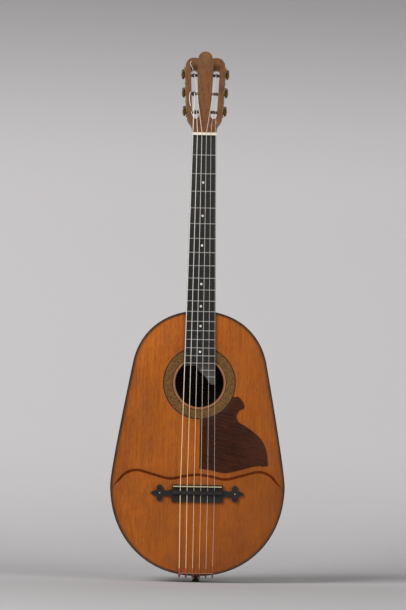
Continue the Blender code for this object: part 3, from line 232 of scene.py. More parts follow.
class WoodColours(bpy.types.PropertyGroup):
    top_light: colour_setting("Top, light", "Light grain of the soundboard", 188, 102, 24)
    top_dark: colour_setting("Top, dark", "Dark grain of the soundboard", 132, 62, 12)
    # Painted shade low on the treble side, where less light falls; the brown at the edges is darker varnish
    top_shade: colour_setting("Top, shade", "Browner varnish low on the treble side, at edges", 110, 54, 16)
    # Painted shadow of the wavy step, with dark varnish gathered in its corner
    cove: colour_setting("Cove", "Hollow under the wavy step", 110, 46, 6)
    edge_line: colour_setting("Edge line", "Line between the edge strip and the soundboard", 112, 66, 34)
    ring: colour_setting("Ring", "Light ring that lines the soundhole", 170, 112, 74)
    rosette: colour_setting("Rosette", "Mottled inlay round the soundhole", 108, 75, 38)
    guard: colour_setting("Guard", "Plate beside the soundhole", 68, 32, 14)
    binding: colour_setting("Binding", "Strip round the soundboard's edge", 54, 34, 22)
    side_light: colour_setting("Sides, light", "Light figure of the sides and back", 112, 62, 38)
    side_dark: colour_setting("Sides, dark", "Dark figure of the sides and back", 62, 32, 22)
    neck_light: colour_setting("Neck, light", "Light grain of the neck and head", 122, 78, 42)
    neck_dark: colour_setting("Neck, dark", "Dark grain of the neck and head", 82, 50, 28)
    crest: colour_setting("Crest", "Golden wood at the top of the head", 136, 92, 42)
    ebony: colour_setting("Ebony", "Fingerboard and bridge", 42, 39, 38)
    # Lighter grey of the fingerboard's end past its last fret
    board_end: colour_setting("Board end", "Rubbed end of the fingerboard over the soundhole", 92, 86, 80)
    button: colour_setting("Button", "Turned end button", 84, 68, 56)
    bare: colour_setting("Bare wood", "Braces and blocks inside the body", 140, 108, 70)
    # Painted shade on the inner faces of the back and sides, for the shade inside the body
    inside: colour_setting("Inside", "Dusty inner faces of the back and sides", 58, 44, 34)


class MetalColours(bpy.types.PropertyGroup):
    brass: colour_setting("Brass", "Machine plates", 150, 124, 72)
    gear: colour_setting("Gears", "Gears on the rollers' ends", 122, 106, 62)
    steel: colour_setting("Dark steel", "Worms, keys and rollers", 104, 98, 90)
    fret: colour_setting("Fret wire", "Frets", 182, 179, 175)
    plain: colour_setting("Plain wire", "The two thin strings", 246, 240, 234)
    wound: colour_setting("Wound wire", "The four wound strings", 255, 222, 172)
    # Greyer colour of the wound strings above the soundhole's lower edge
    worn_wire: colour_setting("Worn wire", "The wound strings where fingers play them", 240, 234, 226)
    key_brass: colour_setting("Key buttons", "Brass on the faces of the keys' buttons", 192, 146, 62)
    silk: colour_setting("Silk", "Ends of the strings at the tail", 216, 92, 92)
    nut: colour_setting("Nut", "Nut at the top of the board", 244, 236, 216)
    bone: colour_setting("Bone", "Saddle and the dots on the bridge", 198, 186, 150)
    tail: colour_setting("Tail strip", "Strip that the strings cross at the tail", 158, 112, 80)
    pearl: colour_setting("Pearl", "Dots on the fingerboard", 236, 234, 226)


class StageSettings(bpy.types.PropertyGroup):
    lens: bpy.props.FloatProperty(name="Lens", description="Focal length of the camera", default=389.0,
                                  min=20.0, max=600.0, unit="CAMERA")
    distance: bpy.props.FloatProperty(name="Distance", description="From the camera to the strings",
                                      default=12.0, min=1.0, max=40.0, unit="LENGTH")
    aim_height: bpy.props.FloatProperty(name="Aim height", description="Height that the camera looks at",
                                        default=0.506, min=0.0, max=2.0, unit="LENGTH")
    roll: bpy.props.FloatProperty(name="Roll", description="Lean of the guitar in the picture",
                                  default=math.radians(1.1), subtype="ANGLE")
    backdrop: colour_setting("Backdrop", "Seamless paper behind and under the guitar", 214, 211, 212)


def settings(group):
    return getattr(bpy.context.scene, group)


def scaled(colour, factor):
    return tuple(c * factor for c in colour)


def chosen(name, factor=1.0):
    """A colour that the settings give by its name, made lighter or darker."""
    group = "guitar_woods" if name in WoodColours.__annotations__ else "guitar_metals"
    return scaled(getattr(settings(group), name), factor)


def size(name):
    return getattr(settings("guitar_fittings"), name)


# Outlines

def smooth_through(points, steps):
    """A Catmull-Rom curve through the points, with its ends at the first and last."""
    p = [np.array(q) for q in (points[0], *points, points[-1])]
    out = []
    for a, b, c, d in zip(p, p[1:], p[2:], p[3:]):
        for t in np.linspace(0.0, 1.0, steps, endpoint=False):
            bend = (2 * a - 5 * b + 4 * c - d) * t**2
            twist = (3 * b - a - 3 * c + d) * t**3
            out.append(tuple((2 * b + (c - a) * t + bend + twist) / 2))
    return out + [tuple(points[-1])]


def bezier(start, handle_a, handle_b, end):
    spots = (Vector((*p, 0.0)) for p in (start, handle_a, handle_b, end))
    return [(p.x, p.y) for p in interpolate_bezier(*spots, OUTLINE_STEPS + 1)]


def directions(points):
    """The unit direction of a row of points at each of them."""
    along = np.gradient(points, axis=0)
    return along / np.linalg.norm(along, axis=1)[:, None]


def half_outline(inset=0.0):
    """The treble half of the body's outline from tail to top, moved inwards by the inset."""
    tail, belly_low, belly_high, shoulder_low, shoulder_high, top = OUTLINE_REACHES
    wide, high = BODY_HALF_WIDTH, BODY_LENGTH
    x, z = SHOULDER
    run = bezier((0, 0), (tail, 0), (wide, WIDEST - belly_low), (wide, WIDEST))
    run += bezier((wide, WIDEST), (wide, WIDEST + belly_high),
                  (x + SHOULDER_SLOPE * shoulder_low, z - shoulder_low), SHOULDER)[1:]
    run += bezier(SHOULDER, (x - SHOULDER_SLOPE * shoulder_high, z + shoulder_high),
                  (top, high), (0, high))[1:]
    points = np.array(run)
    along = directions(points)
    along[0], along[-1] = (1, 0), (-1, 0)
    inward = np.stack([-along[:, 1], along[:, 0]], axis=1)
    return [tuple(p) for p in points + inset * inward]


def full_outline(inset=0.0):
    half = half_outline(inset)
    return half + [(-x, z) for x, z in half[-2:0:-1]]


def read_off(line, x):
    """Height of a line of points at one place along it."""
    return float(np.interp(x, *zip(*line)))


def wave_height(x):
    """Height of the wavy step over the rim."""
    return read_off(smooth_through(WAVE, 8), abs(x))


def rim_height(x):
    """Height of the body's lower edge over the rim's lowest point."""
    return read_off([p for p in half_outline() if p[1] <= WIDEST], abs(x))


def above_wave(loop):
    """The stretch of a closed loop that lies above the wavy step, from its right end over the top."""
    above = [z > wave_height(x) for x, z in loop]
    first = next(i for i in range(len(loop)) if above[i] and not above[i - 1])
    turned = loop[first:] + loop[:first]
    stretch = [p for p in turned if p[1] > wave_height(p[0])]
    right, left = stretch[0][0], stretch[-1][0]
    return [(right, wave_height(right)), *stretch, (left, wave_height(left))]


def wave_between(left, right):
    xs = np.linspace(left, right, 121)
    return [(float(x), wave_height(x)) for x in xs[1:-1]]


def circle(radius):
    """A ring round the soundhole's middle."""
    angles = np.linspace(0, 2 * math.pi, 96, endpoint=False)
    return [(radius * math.cos(a), HOLE_Z - RIM_Z + radius * math.sin(a)) for a in angles]


def fret_height_up(number):
    return SADDLE_Z + SCALE_LENGTH * 2 ** (-number / 12)


# Meshes

def plain_mesh(source):
    """The evaluated mesh of an object, which is then removed."""
    bpy.context.view_layer.update()
    graph = bpy.context.evaluated_depsgraph_get()
    mesh = bpy.data.meshes.new_from_object(source.evaluated_get(graph))
    bpy.data.objects.remove(source, do_unlink=True)
    return mesh


def linked(name, data):
    obj = bpy.data.objects.new(name, data)
    bpy.context.scene.collection.objects.link(obj)
    return obj


def plate_mesh(loops, low, high, ease=EDGE_EASE):
    """A flat outline with eased edges, between two depths behind the plane it faces."""
    curve = bpy.data.curves.new("outline", "CURVE")
    curve.dimensions = "2D"
    curve.fill_mode = "BOTH"
    curve.extrude = (high - low) / 2 - ease
    curve.bevel_depth = ease
    curve.bevel_resolution = 2 if ease else 0
    curve.offset = -ease
    for loop in loops:
        spline = curve.splines.new("POLY")
        spline.points.add(len(loop) - 1)
        for point, (x, z) in zip(spline.points, loop):
            point.co = (x, z, 0, 1)
        spline.use_cyclic_u = True
    mesh = plain_mesh(linked("outline", curve))
    mesh.transform(LIFT @ Matrix.Translation((0, (low + high) / 2, 0)) @ FRONT)
    return tidied(mesh)


@contextlib.contextmanager
def edited(mesh):
    """A mesh open for edits, which it is given at the end."""
    work = bmesh.new()
    work.from_mesh(mesh)
    yield work
    work.to_mesh(mesh)
    work.free()


def tidied(mesh):
    """The mesh with doubled points merged and all faces turned outwards."""
    with edited(mesh) as work:
        bmesh.ops.remove_doubles(work, verts=work.verts, dist=1e-6)
        bmesh.ops.recalc_face_normals(work, faces=work.faces)
    return mesh


def joined(meshes):
    """One mesh from several, which are then removed."""
    whole = bpy.data.meshes.new("joined")
    with edited(whole) as work:
        for mesh in meshes:
            work.from_mesh(mesh)
            bpy.data.meshes.remove(mesh)
    return whole


def skinned(work, rings):
    """Closes a row of rings with faces, and gives each side face with its ring and its place in the ring."""
    count = len(rings[0])
    sides = []
    for i, (low, high) in enumerate(zip(rings, rings[1:])):
        for j in range(count):
            k = (j + 1) % count
            sides.append((work.faces.new((low[j], low[k], high[k], high[j])), i, j))
    work.faces.new(rings[0][::-1])
    work.faces.new(rings[-1])
    return sides


def cad_mesh(node, ease=0.0):
    """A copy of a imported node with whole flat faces, and eased edges where asked."""
    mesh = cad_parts[node].data.copy()
    mesh.materials.clear()
    with edited(mesh) as work:
        bmesh.ops.remove_doubles(work, verts=work.verts, dist=2e-6)
        bmesh.ops.dissolve_limit(work, angle_limit=math.radians(0.4), verts=work.verts, edges=work.edges)
    if not ease:
        return mesh
    obj = linked(node + "_eased", mesh)
    bevel = obj.modifiers.new("eased", "BEVEL")
    bevel.width = ease
    bevel.segments = 2
    bevel.limit_method = "ANGLE"
    bevel.angle_limit = EASED_ANGLE
    return plain_mesh(obj)


def piece(name, mesh, finishes, nodes=(), body="guitar", angle=35.0):
    """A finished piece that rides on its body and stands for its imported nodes."""
    mesh.name = name
    mesh.materials.clear()
    for each in finishes:
        mesh.materials.append(finish(each))
    mesh.shade_smooth()
    mesh.set_sharp_from_angle(angle=math.radians(angle))
    obj = linked(name, mesh)
    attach(obj, body)
    if nodes:
        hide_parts(*nodes)
    return obj


def packed_piece(name, node, slot, *finishes, ease=0.0, body="guitar"):
    """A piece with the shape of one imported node."""
    return piece(name, cad_mesh(node, ease), finishes, [node], body)


def second_finish(obj, picks):
    """Gives a piece's second finish to the faces that the test picks."""
    for face in obj.data.polygons:
        face.material_index = int(picks(face))


def tube_mesh(points, radius):
    """A closed tube along a route and its run, with a UV map that goes round it and along it in metres."""
    spots = np.array(points)
    ahead = directions(spots)
    side = np.cross(ahead[0], (0.3, 0.9, 0.2))
    run = np.concatenate([[0.0], np.cumsum(np.linalg.norm(np.diff(spots, axis=0), axis=1))])
    turns = [2 * math.pi * (i + 0.5) / STRING_SIDES for i in range(STRING_SIDES)]
    mesh = bpy.data.meshes.new("tube")
    with edited(mesh) as work:
        layer = work.loops.layers.uv.new("along")
        rings = []
        for spot, forward in zip(spots, ahead):
            side = side - forward * side.dot(forward)
            side /= np.linalg.norm(side)
            other = np.cross(forward, side)
            rings.append([work.verts.new(spot + radius * (math.cos(turn) * side + math.sin(turn) * other))
                          for turn in turns])
        for face, i, j in skinned(work, rings):
            for loop, (across, up) in zip(face.loops, ((j, i), (j + 1, i), (j + 1, i + 1), (j, i + 1))):
                loop[layer].uv = (across / STRING_SIDES, run[up])
    return mesh, run


# Node trees

class Tree:
    """Short calls that add and link nodes in one node tree, most of which give the node's output."""

    def __init__(self, tree):
        self.tree = tree

    def add(self, kind, inputs=None, **settings_of_node):
        node = self.tree.nodes.new(kind)
        for key, value in settings_of_node.items():
            setattr(node, key, value)
        self.fill(node, inputs or {})
        return node

    def fill(self, node, inputs):
        for key, value in inputs.items():
            if isinstance(value, bpy.types.NodeSocket):
                self.tree.links.new(value, node.inputs[key])
            else:
                node.inputs[key].default_value = value

    def math(self, operation, *values, use_clamp=False):
        inputs = dict(enumerate(values))
        return self.add("ShaderNodeMath", inputs, operation=operation, use_clamp=use_clamp).outputs[0]

    def vector_math(self, operation, *values):
        node = self.add("ShaderNodeVectorMath", dict(enumerate(values)), operation=operation)
        return node.outputs["Value" if operation in ("LENGTH", "DISTANCE", "DOT_PRODUCT") else "Vector"]

    def ranged(self, value, start, end, low=0.0, high=1.0, **more):
        """The value as it goes from start to end, put out from low to high."""
        inputs = {"Value": value, "From Min": start, "From Max": end, "To Min": low, "To Max": high}
        return self.add("ShaderNodeMapRange", inputs, **more).outputs[0]

    def ramped(self, *values):
        """The same with soft ends."""
        return self.ranged(*values, interpolation_type="SMOOTHSTEP")

    def mixed(self, share, colour, other, blend_type="MIX"):
        """One colour turning into another as the share goes from 0 to 1."""
        inputs = {"Factor": share, 6: colour, 7: other}
        return self.add("ShaderNodeMix", inputs, data_type="RGBA", blend_type=blend_type).outputs[2]

    def noise(self, vector, scale, detail, roughness=0.5):
        inputs = {"Vector": vector, "Scale": scale, "Detail": detail, "Roughness": roughness}
        return self.add("ShaderNodeTexNoise", inputs).outputs["Fac"]

    def mapped(self, vector, **changes):
        return self.add("ShaderNodeMapping", {"Vector": vector, **changes}).outputs[0]

    def combined(self, x, y, z):
        return self.add("ShaderNodeCombineXYZ", {"X": x, "Y": y, "Z": z}).outputs["Vector"]

    def parts(self, vector):
        return self.add("ShaderNodeSeparateXYZ", {"Vector": vector}).outputs

    def attribute(self, name, kind):
        node = self.add("GeometryNodeInputNamedAttribute", {"Name": name}, data_type=kind)
        return node.outputs["Attribute"]

    def transformed(self, geometry, **changes):
        return self.add("GeometryNodeTransform", {"Geometry": geometry, **changes}).outputs["Geometry"]


def node_group(name, kind, inputs, outputs):
    """A node group with its named sockets, the calls for its tree and what its input node puts out."""
    group = bpy.data.node_groups.new(name, kind)
    for in_out, sockets in (("INPUT", inputs), ("OUTPUT", outputs)):
        for label, socket_kind, *value in sockets:
            socket = group.interface.new_socket(label, in_out=in_out, socket_type="NodeSocket" + socket_kind)
            if value:
                socket.default_value = value[0]
    tree = Tree(group)
    return group, tree, tree.add("NodeGroupInput").outputs


def geometry_tree(name, sockets):
    """A Geometry Nodes tree with a point input, the named inputs, a material and one geometry output."""
    return node_group(name, "GeometryNodeTree", [("Points", "Geometry"), *sockets, ("Material", "Material")],
                      [("Geometry", "Geometry")])


def place_copies(tree, inputs, shape, scale=(1, 1, 1)):
    """Ends a tree: the shape on each point, turned as the point's "turn" says, as real mesh."""
    copies = tree.add("GeometryNodeInstanceOnPoints", {
        "Points": inputs["Points"], "Instance": shape, "Rotation": tree.attribute("turn", "FLOAT_VECTOR"),
        "Scale": scale,
    })
    real = tree.add("GeometryNodeRealizeInstances", {"Geometry": copies.outputs["Instances"]})
    coated = tree.add("GeometryNodeSetMaterial", {
        "Geometry": real.outputs["Geometry"], "Material": inputs["Material"],
    })
    tree.add("NodeGroupOutput", {"Geometry": coated.outputs["Geometry"]})


def fret_tree():
    """A half-round bar on each point, as long as the point's "span" says."""
    group, tree, inputs = geometry_tree("fret_wire", [("Width", "Float", 0.002), ("Height", "Float", 0.001)])
    bar = tree.add("GeometryNodeMeshCylinder", {"Vertices": 24, "Radius": 1.0, "Depth": 2.0})
    laid = tree.transformed(bar.outputs["Mesh"], Rotation=(0, math.pi / 2, 0))
    parts = tree.parts(tree.add("GeometryNodeInputPosition").outputs["Position"])
    deep = tree.math("MULTIPLY", tree.math("MINIMUM", parts["Y"], 0.0), inputs["Height"])
    wide = tree.math("MULTIPLY", parts["Z"], tree.math("MULTIPLY", inputs["Width"], 0.5))
    spot = tree.combined(parts["X"], deep, wide)
    shaped = tree.add("GeometryNodeSetPosition", {"Geometry": laid, "Position": spot})
    merged = tree.add("GeometryNodeMergeByDistance", {
        "Geometry": shaped.outputs["Geometry"], "Distance": 1e-6,
    })
    span = tree.attribute("span", "FLOAT")
    place_copies(tree, inputs, merged.outputs["Geometry"], tree.combined(span, 1.0, 1.0))
    return group


def dot_tree():
    """A shallow round dome on each point."""
    group, tree, inputs = geometry_tree("inlaid_dot", [
        ("Radius", "Float", 0.002), ("Rise", "Float", 0.00025),
    ])
    ball = tree.add("GeometryNodeMeshUVSphere", {"Segments": 24, "Rings": 8, "Radius": 1.0})
    flat = tree.combined(inputs["Radius"], inputs["Rise"], inputs["Radius"])
    place_copies(tree, inputs, tree.transformed(ball.outputs["Mesh"], Scale=flat))
    return group


def screw_tree():
    """A domed screw head with a slot across it on each point, facing the point's local X."""
    group, tree, inputs = geometry_tree("slotted_screw", [
        ("Radius", "Float", 0.0017), ("Rise", "Float", 0.0007), ("Slot", "Float", 0.00045),
    ])
    ball = tree.add("GeometryNodeMeshUVSphere", {"Segments": 20, "Rings": 12, "Radius": 1.0})
    flat = tree.combined(inputs["Rise"], inputs["Radius"], inputs["Radius"])
    length = tree.math("MULTIPLY", inputs["Radius"], 3.0)
    blade = tree.add("GeometryNodeMeshCube", {"Size": tree.combined(inputs["Rise"], length, inputs["Slot"])})
    out = tree.combined(inputs["Rise"], 0.0, 0.0)
    slotted = tree.add("GeometryNodeMeshBoolean", {
        "Mesh 1": tree.transformed(ball.outputs["Mesh"], Scale=flat),
        "Mesh 2": tree.transformed(blade.outputs["Mesh"], Translation=out),
    }, operation="DIFFERENCE")
    place_copies(tree, inputs, slotted.outputs["Mesh"])
    return group


def grown(group, spots, values, turns=None, spans=None):
    """The plain mesh that a tree makes on a row of points."""
    base = bpy.data.meshes.new("points")
    base.from_pydata([tuple(s) for s in spots], [], [])
    turn = base.attributes.new("turn", "FLOAT_VECTOR", "POINT")
    turn.data.foreach_set("vector", np.array(turns or [(0, 0, 0)] * len(spots), np.float32).ravel())
    if spans:
        span = base.attributes.new("span", "FLOAT", "POINT")
        span.data.foreach_set("value", np.array(spans, np.float32))
    obj = linked("points", base)
    modifier = obj.modifiers.new("grown", "NODES")
    modifier.node_group = group
    for item in group.interface.items_tree:
        if item.item_type == "SOCKET" and item.in_out == "INPUT" and item.name in values:
            modifier[item.identifier] = values[item.name]
    return plain_mesh(obj)


# Shader groups

def shader_group(name, inputs, outputs):
    return node_group(name, "ShaderNodeTree", inputs, outputs)


def wood_grain_group():
    """Streaks and growth lines that run along Z, with slow patches of light and dark."""
    group, tree, inputs = shader_group("wood_grain", [
        ("Vector", "Vector"), ("Light", "Color", (0.5, 0.3, 0.1, 1)), ("Dark", "Color", (0.2, 0.1, 0.03, 1)),
        ("Lines", "Float", 600.0), ("Wander", "Float", 0.6), ("Line Strength", "Float", 0.35),
        ("Patches", "Float", 0.4), ("Flecks", "Float", 0.25),
    ], [("Color", "Color"), ("Height", "Float")])
    stretched = tree.mapped(inputs["Vector"], Scale=(1.0, 1.0, 0.035))
    drift = tree.noise(stretched, 14.0, 2.0)
    parts = tree.parts(stretched)
    counted = tree.math("MULTIPLY", tree.math("ADD", parts["X"], parts["Y"]), inputs["Lines"])
    bent = tree.math("MULTIPLY", drift, inputs["Wander"])
    phase = tree.math("ADD", counted, tree.math("MULTIPLY", bent, 30.0))
    half = tree.math("MULTIPLY_ADD", tree.math("SINE", phase), 0.5, 0.5)
    line_share = tree.math("MULTIPLY", tree.math("POWER", half, 3.0), inputs["Line Strength"])
    streaks = tree.ranged(tree.noise(stretched, 320.0, 5.0, 0.62), 0.32, 0.72, 0.0, 0.55)
    patches = tree.ranged(tree.noise(inputs["Vector"], 11.0, 3.0, 0.55), 0.3, 0.7, -0.5, 0.5)
    short = tree.mapped(inputs["Vector"], Scale=(1.0, 1.0, 0.16))
    pores = tree.ranged(tree.noise(short, 420.0, 4.0, 0.75), 0.4, 0.66, -0.5, 0.5)
    patch_share = tree.math("MULTIPLY", patches, inputs["Patches"])
    pore_share = tree.math("MULTIPLY_ADD", pores, inputs["Flecks"], patch_share)
    grain = tree.math("ADD", line_share, streaks)
    total = tree.math("ADD", grain, pore_share, use_clamp=True)
    tree.add("NodeGroupOutput", {
        "Color": tree.mixed(total, inputs["Light"], inputs["Dark"]),
        "Height": tree.math("SUBTRACT", 1.0, grain),
    })
    return group


def wear_group():
    """Handling wear: soft dull blotches, with fine scratches among them."""
    group, tree, inputs = shader_group("handling_wear", [
        ("Vector", "Vector"), ("Color", "Color", (0.5, 0.5, 0.5, 1)),
        ("Grime", "Color", (0.05, 0.03, 0.02, 1)), ("Amount", "Float", 0.3), ("Gloss", "Float", 0.3),
        ("Dulling", "Float", 0.2),
    ], [("Color", "Color"), ("Roughness", "Float"), ("Height", "Float")])
    soft = tree.ranged(tree.noise(inputs["Vector"], 38.0, 5.0, 0.6), 0.42, 0.72)
    share = tree.math("MULTIPLY", soft, inputs["Amount"])
    fine = tree.noise(inputs["Vector"], 900.0, 2.0, 0.7)
    dull = tree.math("MULTIPLY_ADD", soft, inputs["Dulling"], inputs["Gloss"])
    tree.add("NodeGroupOutput", {
        "Color": tree.mixed(share, inputs["Color"], inputs["Grime"]),
        "Roughness": tree.math("MULTIPLY_ADD", fine, 0.12, dull, use_clamp=True), "Height": fine,
    })
    return group


def wrap_group():
    """Close turns of wire or thread round a string, from the piece's own map."""
    group, tree, inputs = shader_group("close_turns", [
        ("Pitch", "Float", 0.0004), ("Lean", "Float", 1.0), ("Light", "Color", (0.8, 0.7, 0.6, 1)),
        ("Dark", "Color", (0.3, 0.2, 0.15, 1)),
    ], [("Color", "Color"), ("Height", "Float")])
    parts = tree.parts(tree.add("ShaderNodeUVMap", uv_map="along").outputs["UV"])
    turns = tree.math("DIVIDE", parts["Y"], inputs["Pitch"])
    lean = tree.math("MULTIPLY_ADD", parts["X"], inputs["Lean"], turns)
    wave = tree.math("SINE", tree.math("MULTIPLY", lean, 2 * math.pi))
    rise = tree.math("MULTIPLY_ADD", wave, 0.5, 0.5)
    tree.add("NodeGroupOutput", {"Color": tree.mixed(rise, inputs["Dark"], inputs["Light"]), "Height": rise})
    return group


# Materials

def new_material(name):
    """The calls for a new material's tree, and its shader."""
    material = bpy.data.materials.new(name)
    material.use_nodes = True
    return Tree(material.node_tree), material.node_tree.nodes["Principled BSDF"]


def object_vector(tree, turn=(0, 0, 0)):
    """The piece's own coordinates, turned so that the grain runs along Z."""
    return tree.mapped(tree.add("ShaderNodeTexCoord").outputs["Object"], Rotation=turn)


def group_node(tree, name, maker, inputs):
    """A shared shader group, made when a material first asks for it."""
    return tree.add("ShaderNodeGroup", inputs, node_tree=bpy.data.node_groups.get(name) or maker())


def bumped(tree, shader, height, distance, strength=1.0):
    bump = tree.add("ShaderNodeBump", {"Height": height, "Distance": distance, "Strength": strength})
    tree.fill(shader, {"Normal": bump.outputs["Normal"]})


def rgba(colour, factor=1.0):
    return (*(c * factor for c in colour), 1.0)


def as_it_is(tree, colour):
    return colour


def worn(tree, shader, vector, colour, grime, wear, gloss, dulling, others):
    """Puts a colour with handling wear on a shader, sets its other inputs and gives the wear's height."""
    wear_node = group_node(tree, "handling_wear", wear_group, {
        "Vector": vector, "Color": colour, "Grime": grime, "Amount": wear, "Gloss": gloss, "Dulling": dulling,
    })
    colour, rough, height = (wear_node.outputs[key] for key in ("Color", "Roughness", "Height"))
    tree.fill(shader, {"Base Color": colour, "Roughness": rough, **others})
    return height


def wood(name, light, dark, tint=1.0, lines=600.0, wander=0.6, strength=0.35, patches=0.4, flecks=0.25,
         turn=(0, 0, 0), gloss=0.30, coat=0.12, shine=0.3, wear=0.25, grime=0.35, matched=False,
         recolour=as_it_is):
    """Varnished wood. The grain runs along Z once turned, and is mirrored about the middle where matched.

    The dark grain is a colour of its own, or the light one made darker by a factor.
    """
    tree, shader = new_material(name)
    light = chosen(light, tint)
    dark = chosen(dark) if isinstance(dark, str) else scaled(light, dark)
    vector = object_vector(tree, turn)
    if matched:
        vector = tree.vector_math("ABSOLUTE", vector)
    grain = group_node(tree, "wood_grain", wood_grain_group, {
        "Vector": vector, "Light": rgba(light), "Dark": rgba(dark), "Lines": lines, "Wander": wander,
        "Line Strength": strength, "Patches": patches, "Flecks": flecks,
    })
    worn(tree, shader, vector, recolour(tree, grain.outputs["Color"]), rgba(dark, grime), wear, gloss, 0.18,
         {"Coat Weight": coat, "Coat Roughness": 0.18, "Specular IOR Level": shine})
    bumped(tree, shader, grain.outputs["Height"], 0.00006, 0.5)


def metal(name, colour, tint=1.0, gloss=0.3, wear=0.4, grime=(0.02, 0.018, 0.015), metallic=1.0,
          recolour=as_it_is):
    """Worn metal."""
    tree, shader = new_material(name)
    shade = recolour(tree, rgba(chosen(colour, tint)))
    scratches = worn(tree, shader, object_vector(tree), shade, rgba(grime), wear, gloss, 0.3,
                     {"Metallic": metallic})
    bumped(tree, shader, scratches, 0.00002, 0.4)


def object_parts(tree):
    """The piece's own coordinates, whole and in parts."""
    place = tree.add("ShaderNodeTexCoord").outputs["Object"]
    return place, tree.parts(place)


def edge_share(tree):
    """1 at the soundboard's edge and 0 further in, from the outline's half width at each height."""
    parts = object_parts(tree)[1]
    width = tree.add("ShaderNodeFloatCurve", {"Value": tree.ranged(parts["Z"], RIM_Z, RIM_Z + BODY_LENGTH)})
    curve = width.mapping.curves[0]
    edge = [(z, x) for x, z in half_outline()]
    widest = 0.2
    for spot in (0.0, 0.004, 0.015, 0.04, 0.08, 0.15, 0.24, 0.34, 0.45, 0.6, 0.74, 0.81, 0.87, 0.92, 0.96,
                 0.985, 0.996, 1.0):
        reach = read_off(edge, spot * BODY_LENGTH) / widest
        if spot in (0.0, 1.0):
            curve.points[int(spot)].location = (spot, reach)
        else:
            curve.points.new(spot, reach)
    width.mapping.update()
    out = tree.math("MULTIPLY", width.outputs[0], widest)
    inside = tree.math("SUBTRACT", out, tree.math("ABSOLUTE", parts["X"]))
    return tree.ramped(inside, 0.0, size("edge_shade"), 1.0, 0.0)


def top_painted_light_and_edge(tree, colour):
    """Painted light: the soundboard is lighter up and on the bass side and browner low on the treble side, as
    light from the upper left falls on it, with slow random patches; it is also browner at its edge.
    """
    place, parts = object_parts(tree)
    # Painted light: lighter towards the bass side and up, darker low on the treble side
    slope = tree.math("MULTIPLY_ADD", parts["X"], 1.4, tree.noise(place, 6.0, 2.0))
    low = tree.math("MULTIPLY_ADD", parts["Z"], -1.3, slope)
    shade = rgba(chosen("top_shade"))
    painted_light_fall = tree.mixed(tree.ranged(low, -0.2, 0.75, 0.0, 0.7), colour, shade)
    return tree.mixed(tree.math("MULTIPLY", edge_share(tree), 0.45), painted_light_fall, shade)


def head_tone(tree, colour):
    """The head's crest is golden, and painted shade darkens the hollows over its slots."""
    place = object_parts(tree)[0]
    crest = tree.vector_math("DISTANCE", place, (0.0, CREST_Y, CREST_Z))
    colour = tree.mixed(tree.ramped(crest, 0.004, 0.013, 0.7, 0.0), colour, rgba(chosen("crest")))
    # Painted shade in the hollow over each slot's upper end
    for side in (-1, 1):
        hollow = Vector((-side * SLOT_INSET, -HEAD_THICKNESS / 2, SLOT_TOP - MIDDLE_MACHINE + SLOT_HOLLOW))
        reach = tree.vector_math("DISTANCE", place, tuple(side_frame(side) @ hollow))
        colour = tree.mixed(tree.ramped(reach, 0.003, 0.01, 0.7, 0.0), colour, rgba(SLOT_SHADE))
    return colour


def board_tone(tree, colour):
    """The fingerboard is a lighter grey past its last fret."""
    end = RIM_Z + fret_height_up(FRET_COUNT)
    share = tree.ramped(object_parts(tree)[1]["Z"], end - 0.002, end + 0.03, 0.8, 0.0)
    return tree.mixed(share, colour, rgba(chosen("board_end")))


def joint_tone(tree, colour):
    """The back's two halves meet in a fine dark joint down its middle."""
    across = tree.math("ABSOLUTE", object_parts(tree)[1]["X"])
    return tree.mixed(tree.ramped(across, 0.0003, 0.0007, 0.8, 0.0), colour, rgba(JOINT_SHADE))


def hole_reach(tree, place):
    """How far a place lies from the soundhole's middle line."""
    return tree.vector_math("LENGTH", tree.mapped(place, Location=(0, 0, -HOLE_Z), Scale=(1, 0, 1)))


def ring_tone(tree, colour):
    """The hole's lining has painted shade at its inner edge by the hole, and a dark line at its outer edge.
    """
    reach = hole_reach(tree, object_parts(tree)[0])
    dark = rgba(RING_SHADE_AND_LINE)
    # Painted shade at the inner edge, by the hole
    inner = tree.ramped(reach, HOLE_RADIUS + 0.0002, HOLE_RADIUS + 0.0014, 0.85, 0.0)
    # Dark line at the outer edge, by the rosette
    outer = tree.ramped(reach, RING_RADIUS - 0.0008, RING_RADIUS - 0.0002, 0.0, 0.8)
    return tree.mixed(outer, tree.mixed(inner, colour, dark), dark)


def bone(name, colour):
    """Bone or shell, whose surface lets a little light in."""
    tree, shader = new_material(name)
    scratches = worn(tree, shader, object_vector(tree), rgba(chosen(colour)), rgba(BONE_GRIME), 0.35, 0.3,
                     0.15, {"Subsurface Weight": 0.08, "Subsurface Radius": (0.002, 0.0015, 0.001)})
    bumped(tree, shader, scratches, 0.00002, 0.3)


def mottled_inlay(name, colour):
    """Mottled inlay with fine dark lines at its two edges."""
    tree, shader = new_material(name)
    place = tree.add("ShaderNodeTexCoord").outputs["Object"]
    flecks = tree.add("ShaderNodeTexVoronoi", {"Vector": place, "Scale": 420.0, "Randomness": 1.0})
    cloud = tree.noise(place, 130.0, 4.0, 0.65)
    speck = tree.math("MULTIPLY", flecks.outputs["Distance"], cloud)
    share = tree.ranged(speck, 0.08, 0.38)
    mottled = tree.mixed(share, rgba(chosen(colour, 0.5)), rgba(chosen(colour, 1.3)))
    bands = tree.add("ShaderNodeValToRGB", {"Fac": tree.ranged(hole_reach(tree, place), RING_RADIUS,
                                                               ROSETTE_RADIUS)})
    ramp = bands.color_ramp
    ramp.interpolation = "CONSTANT"
    for spot, value in ((0.0, 0.4), (0.06, 1.0), (0.91, 0.28)):
        stop = ramp.elements.new(spot) if spot else ramp.elements[0]
        stop.position = spot
        stop.color = (value, value, value, 1)
    ramp.elements.remove(ramp.elements[-1])
    tree.fill(shader, {
        "Base Color": tree.mixed(1.0, mottled, bands.outputs["Color"], blend_type="MULTIPLY"),
        "Roughness": tree.ranged(cloud, 0.2, 0.8, 0.26, 0.42), "Coat Weight": 0.12, "Specular IOR Level": 0.3,
    })
    bumped(tree, shader, speck, 0.00004, 0.4)


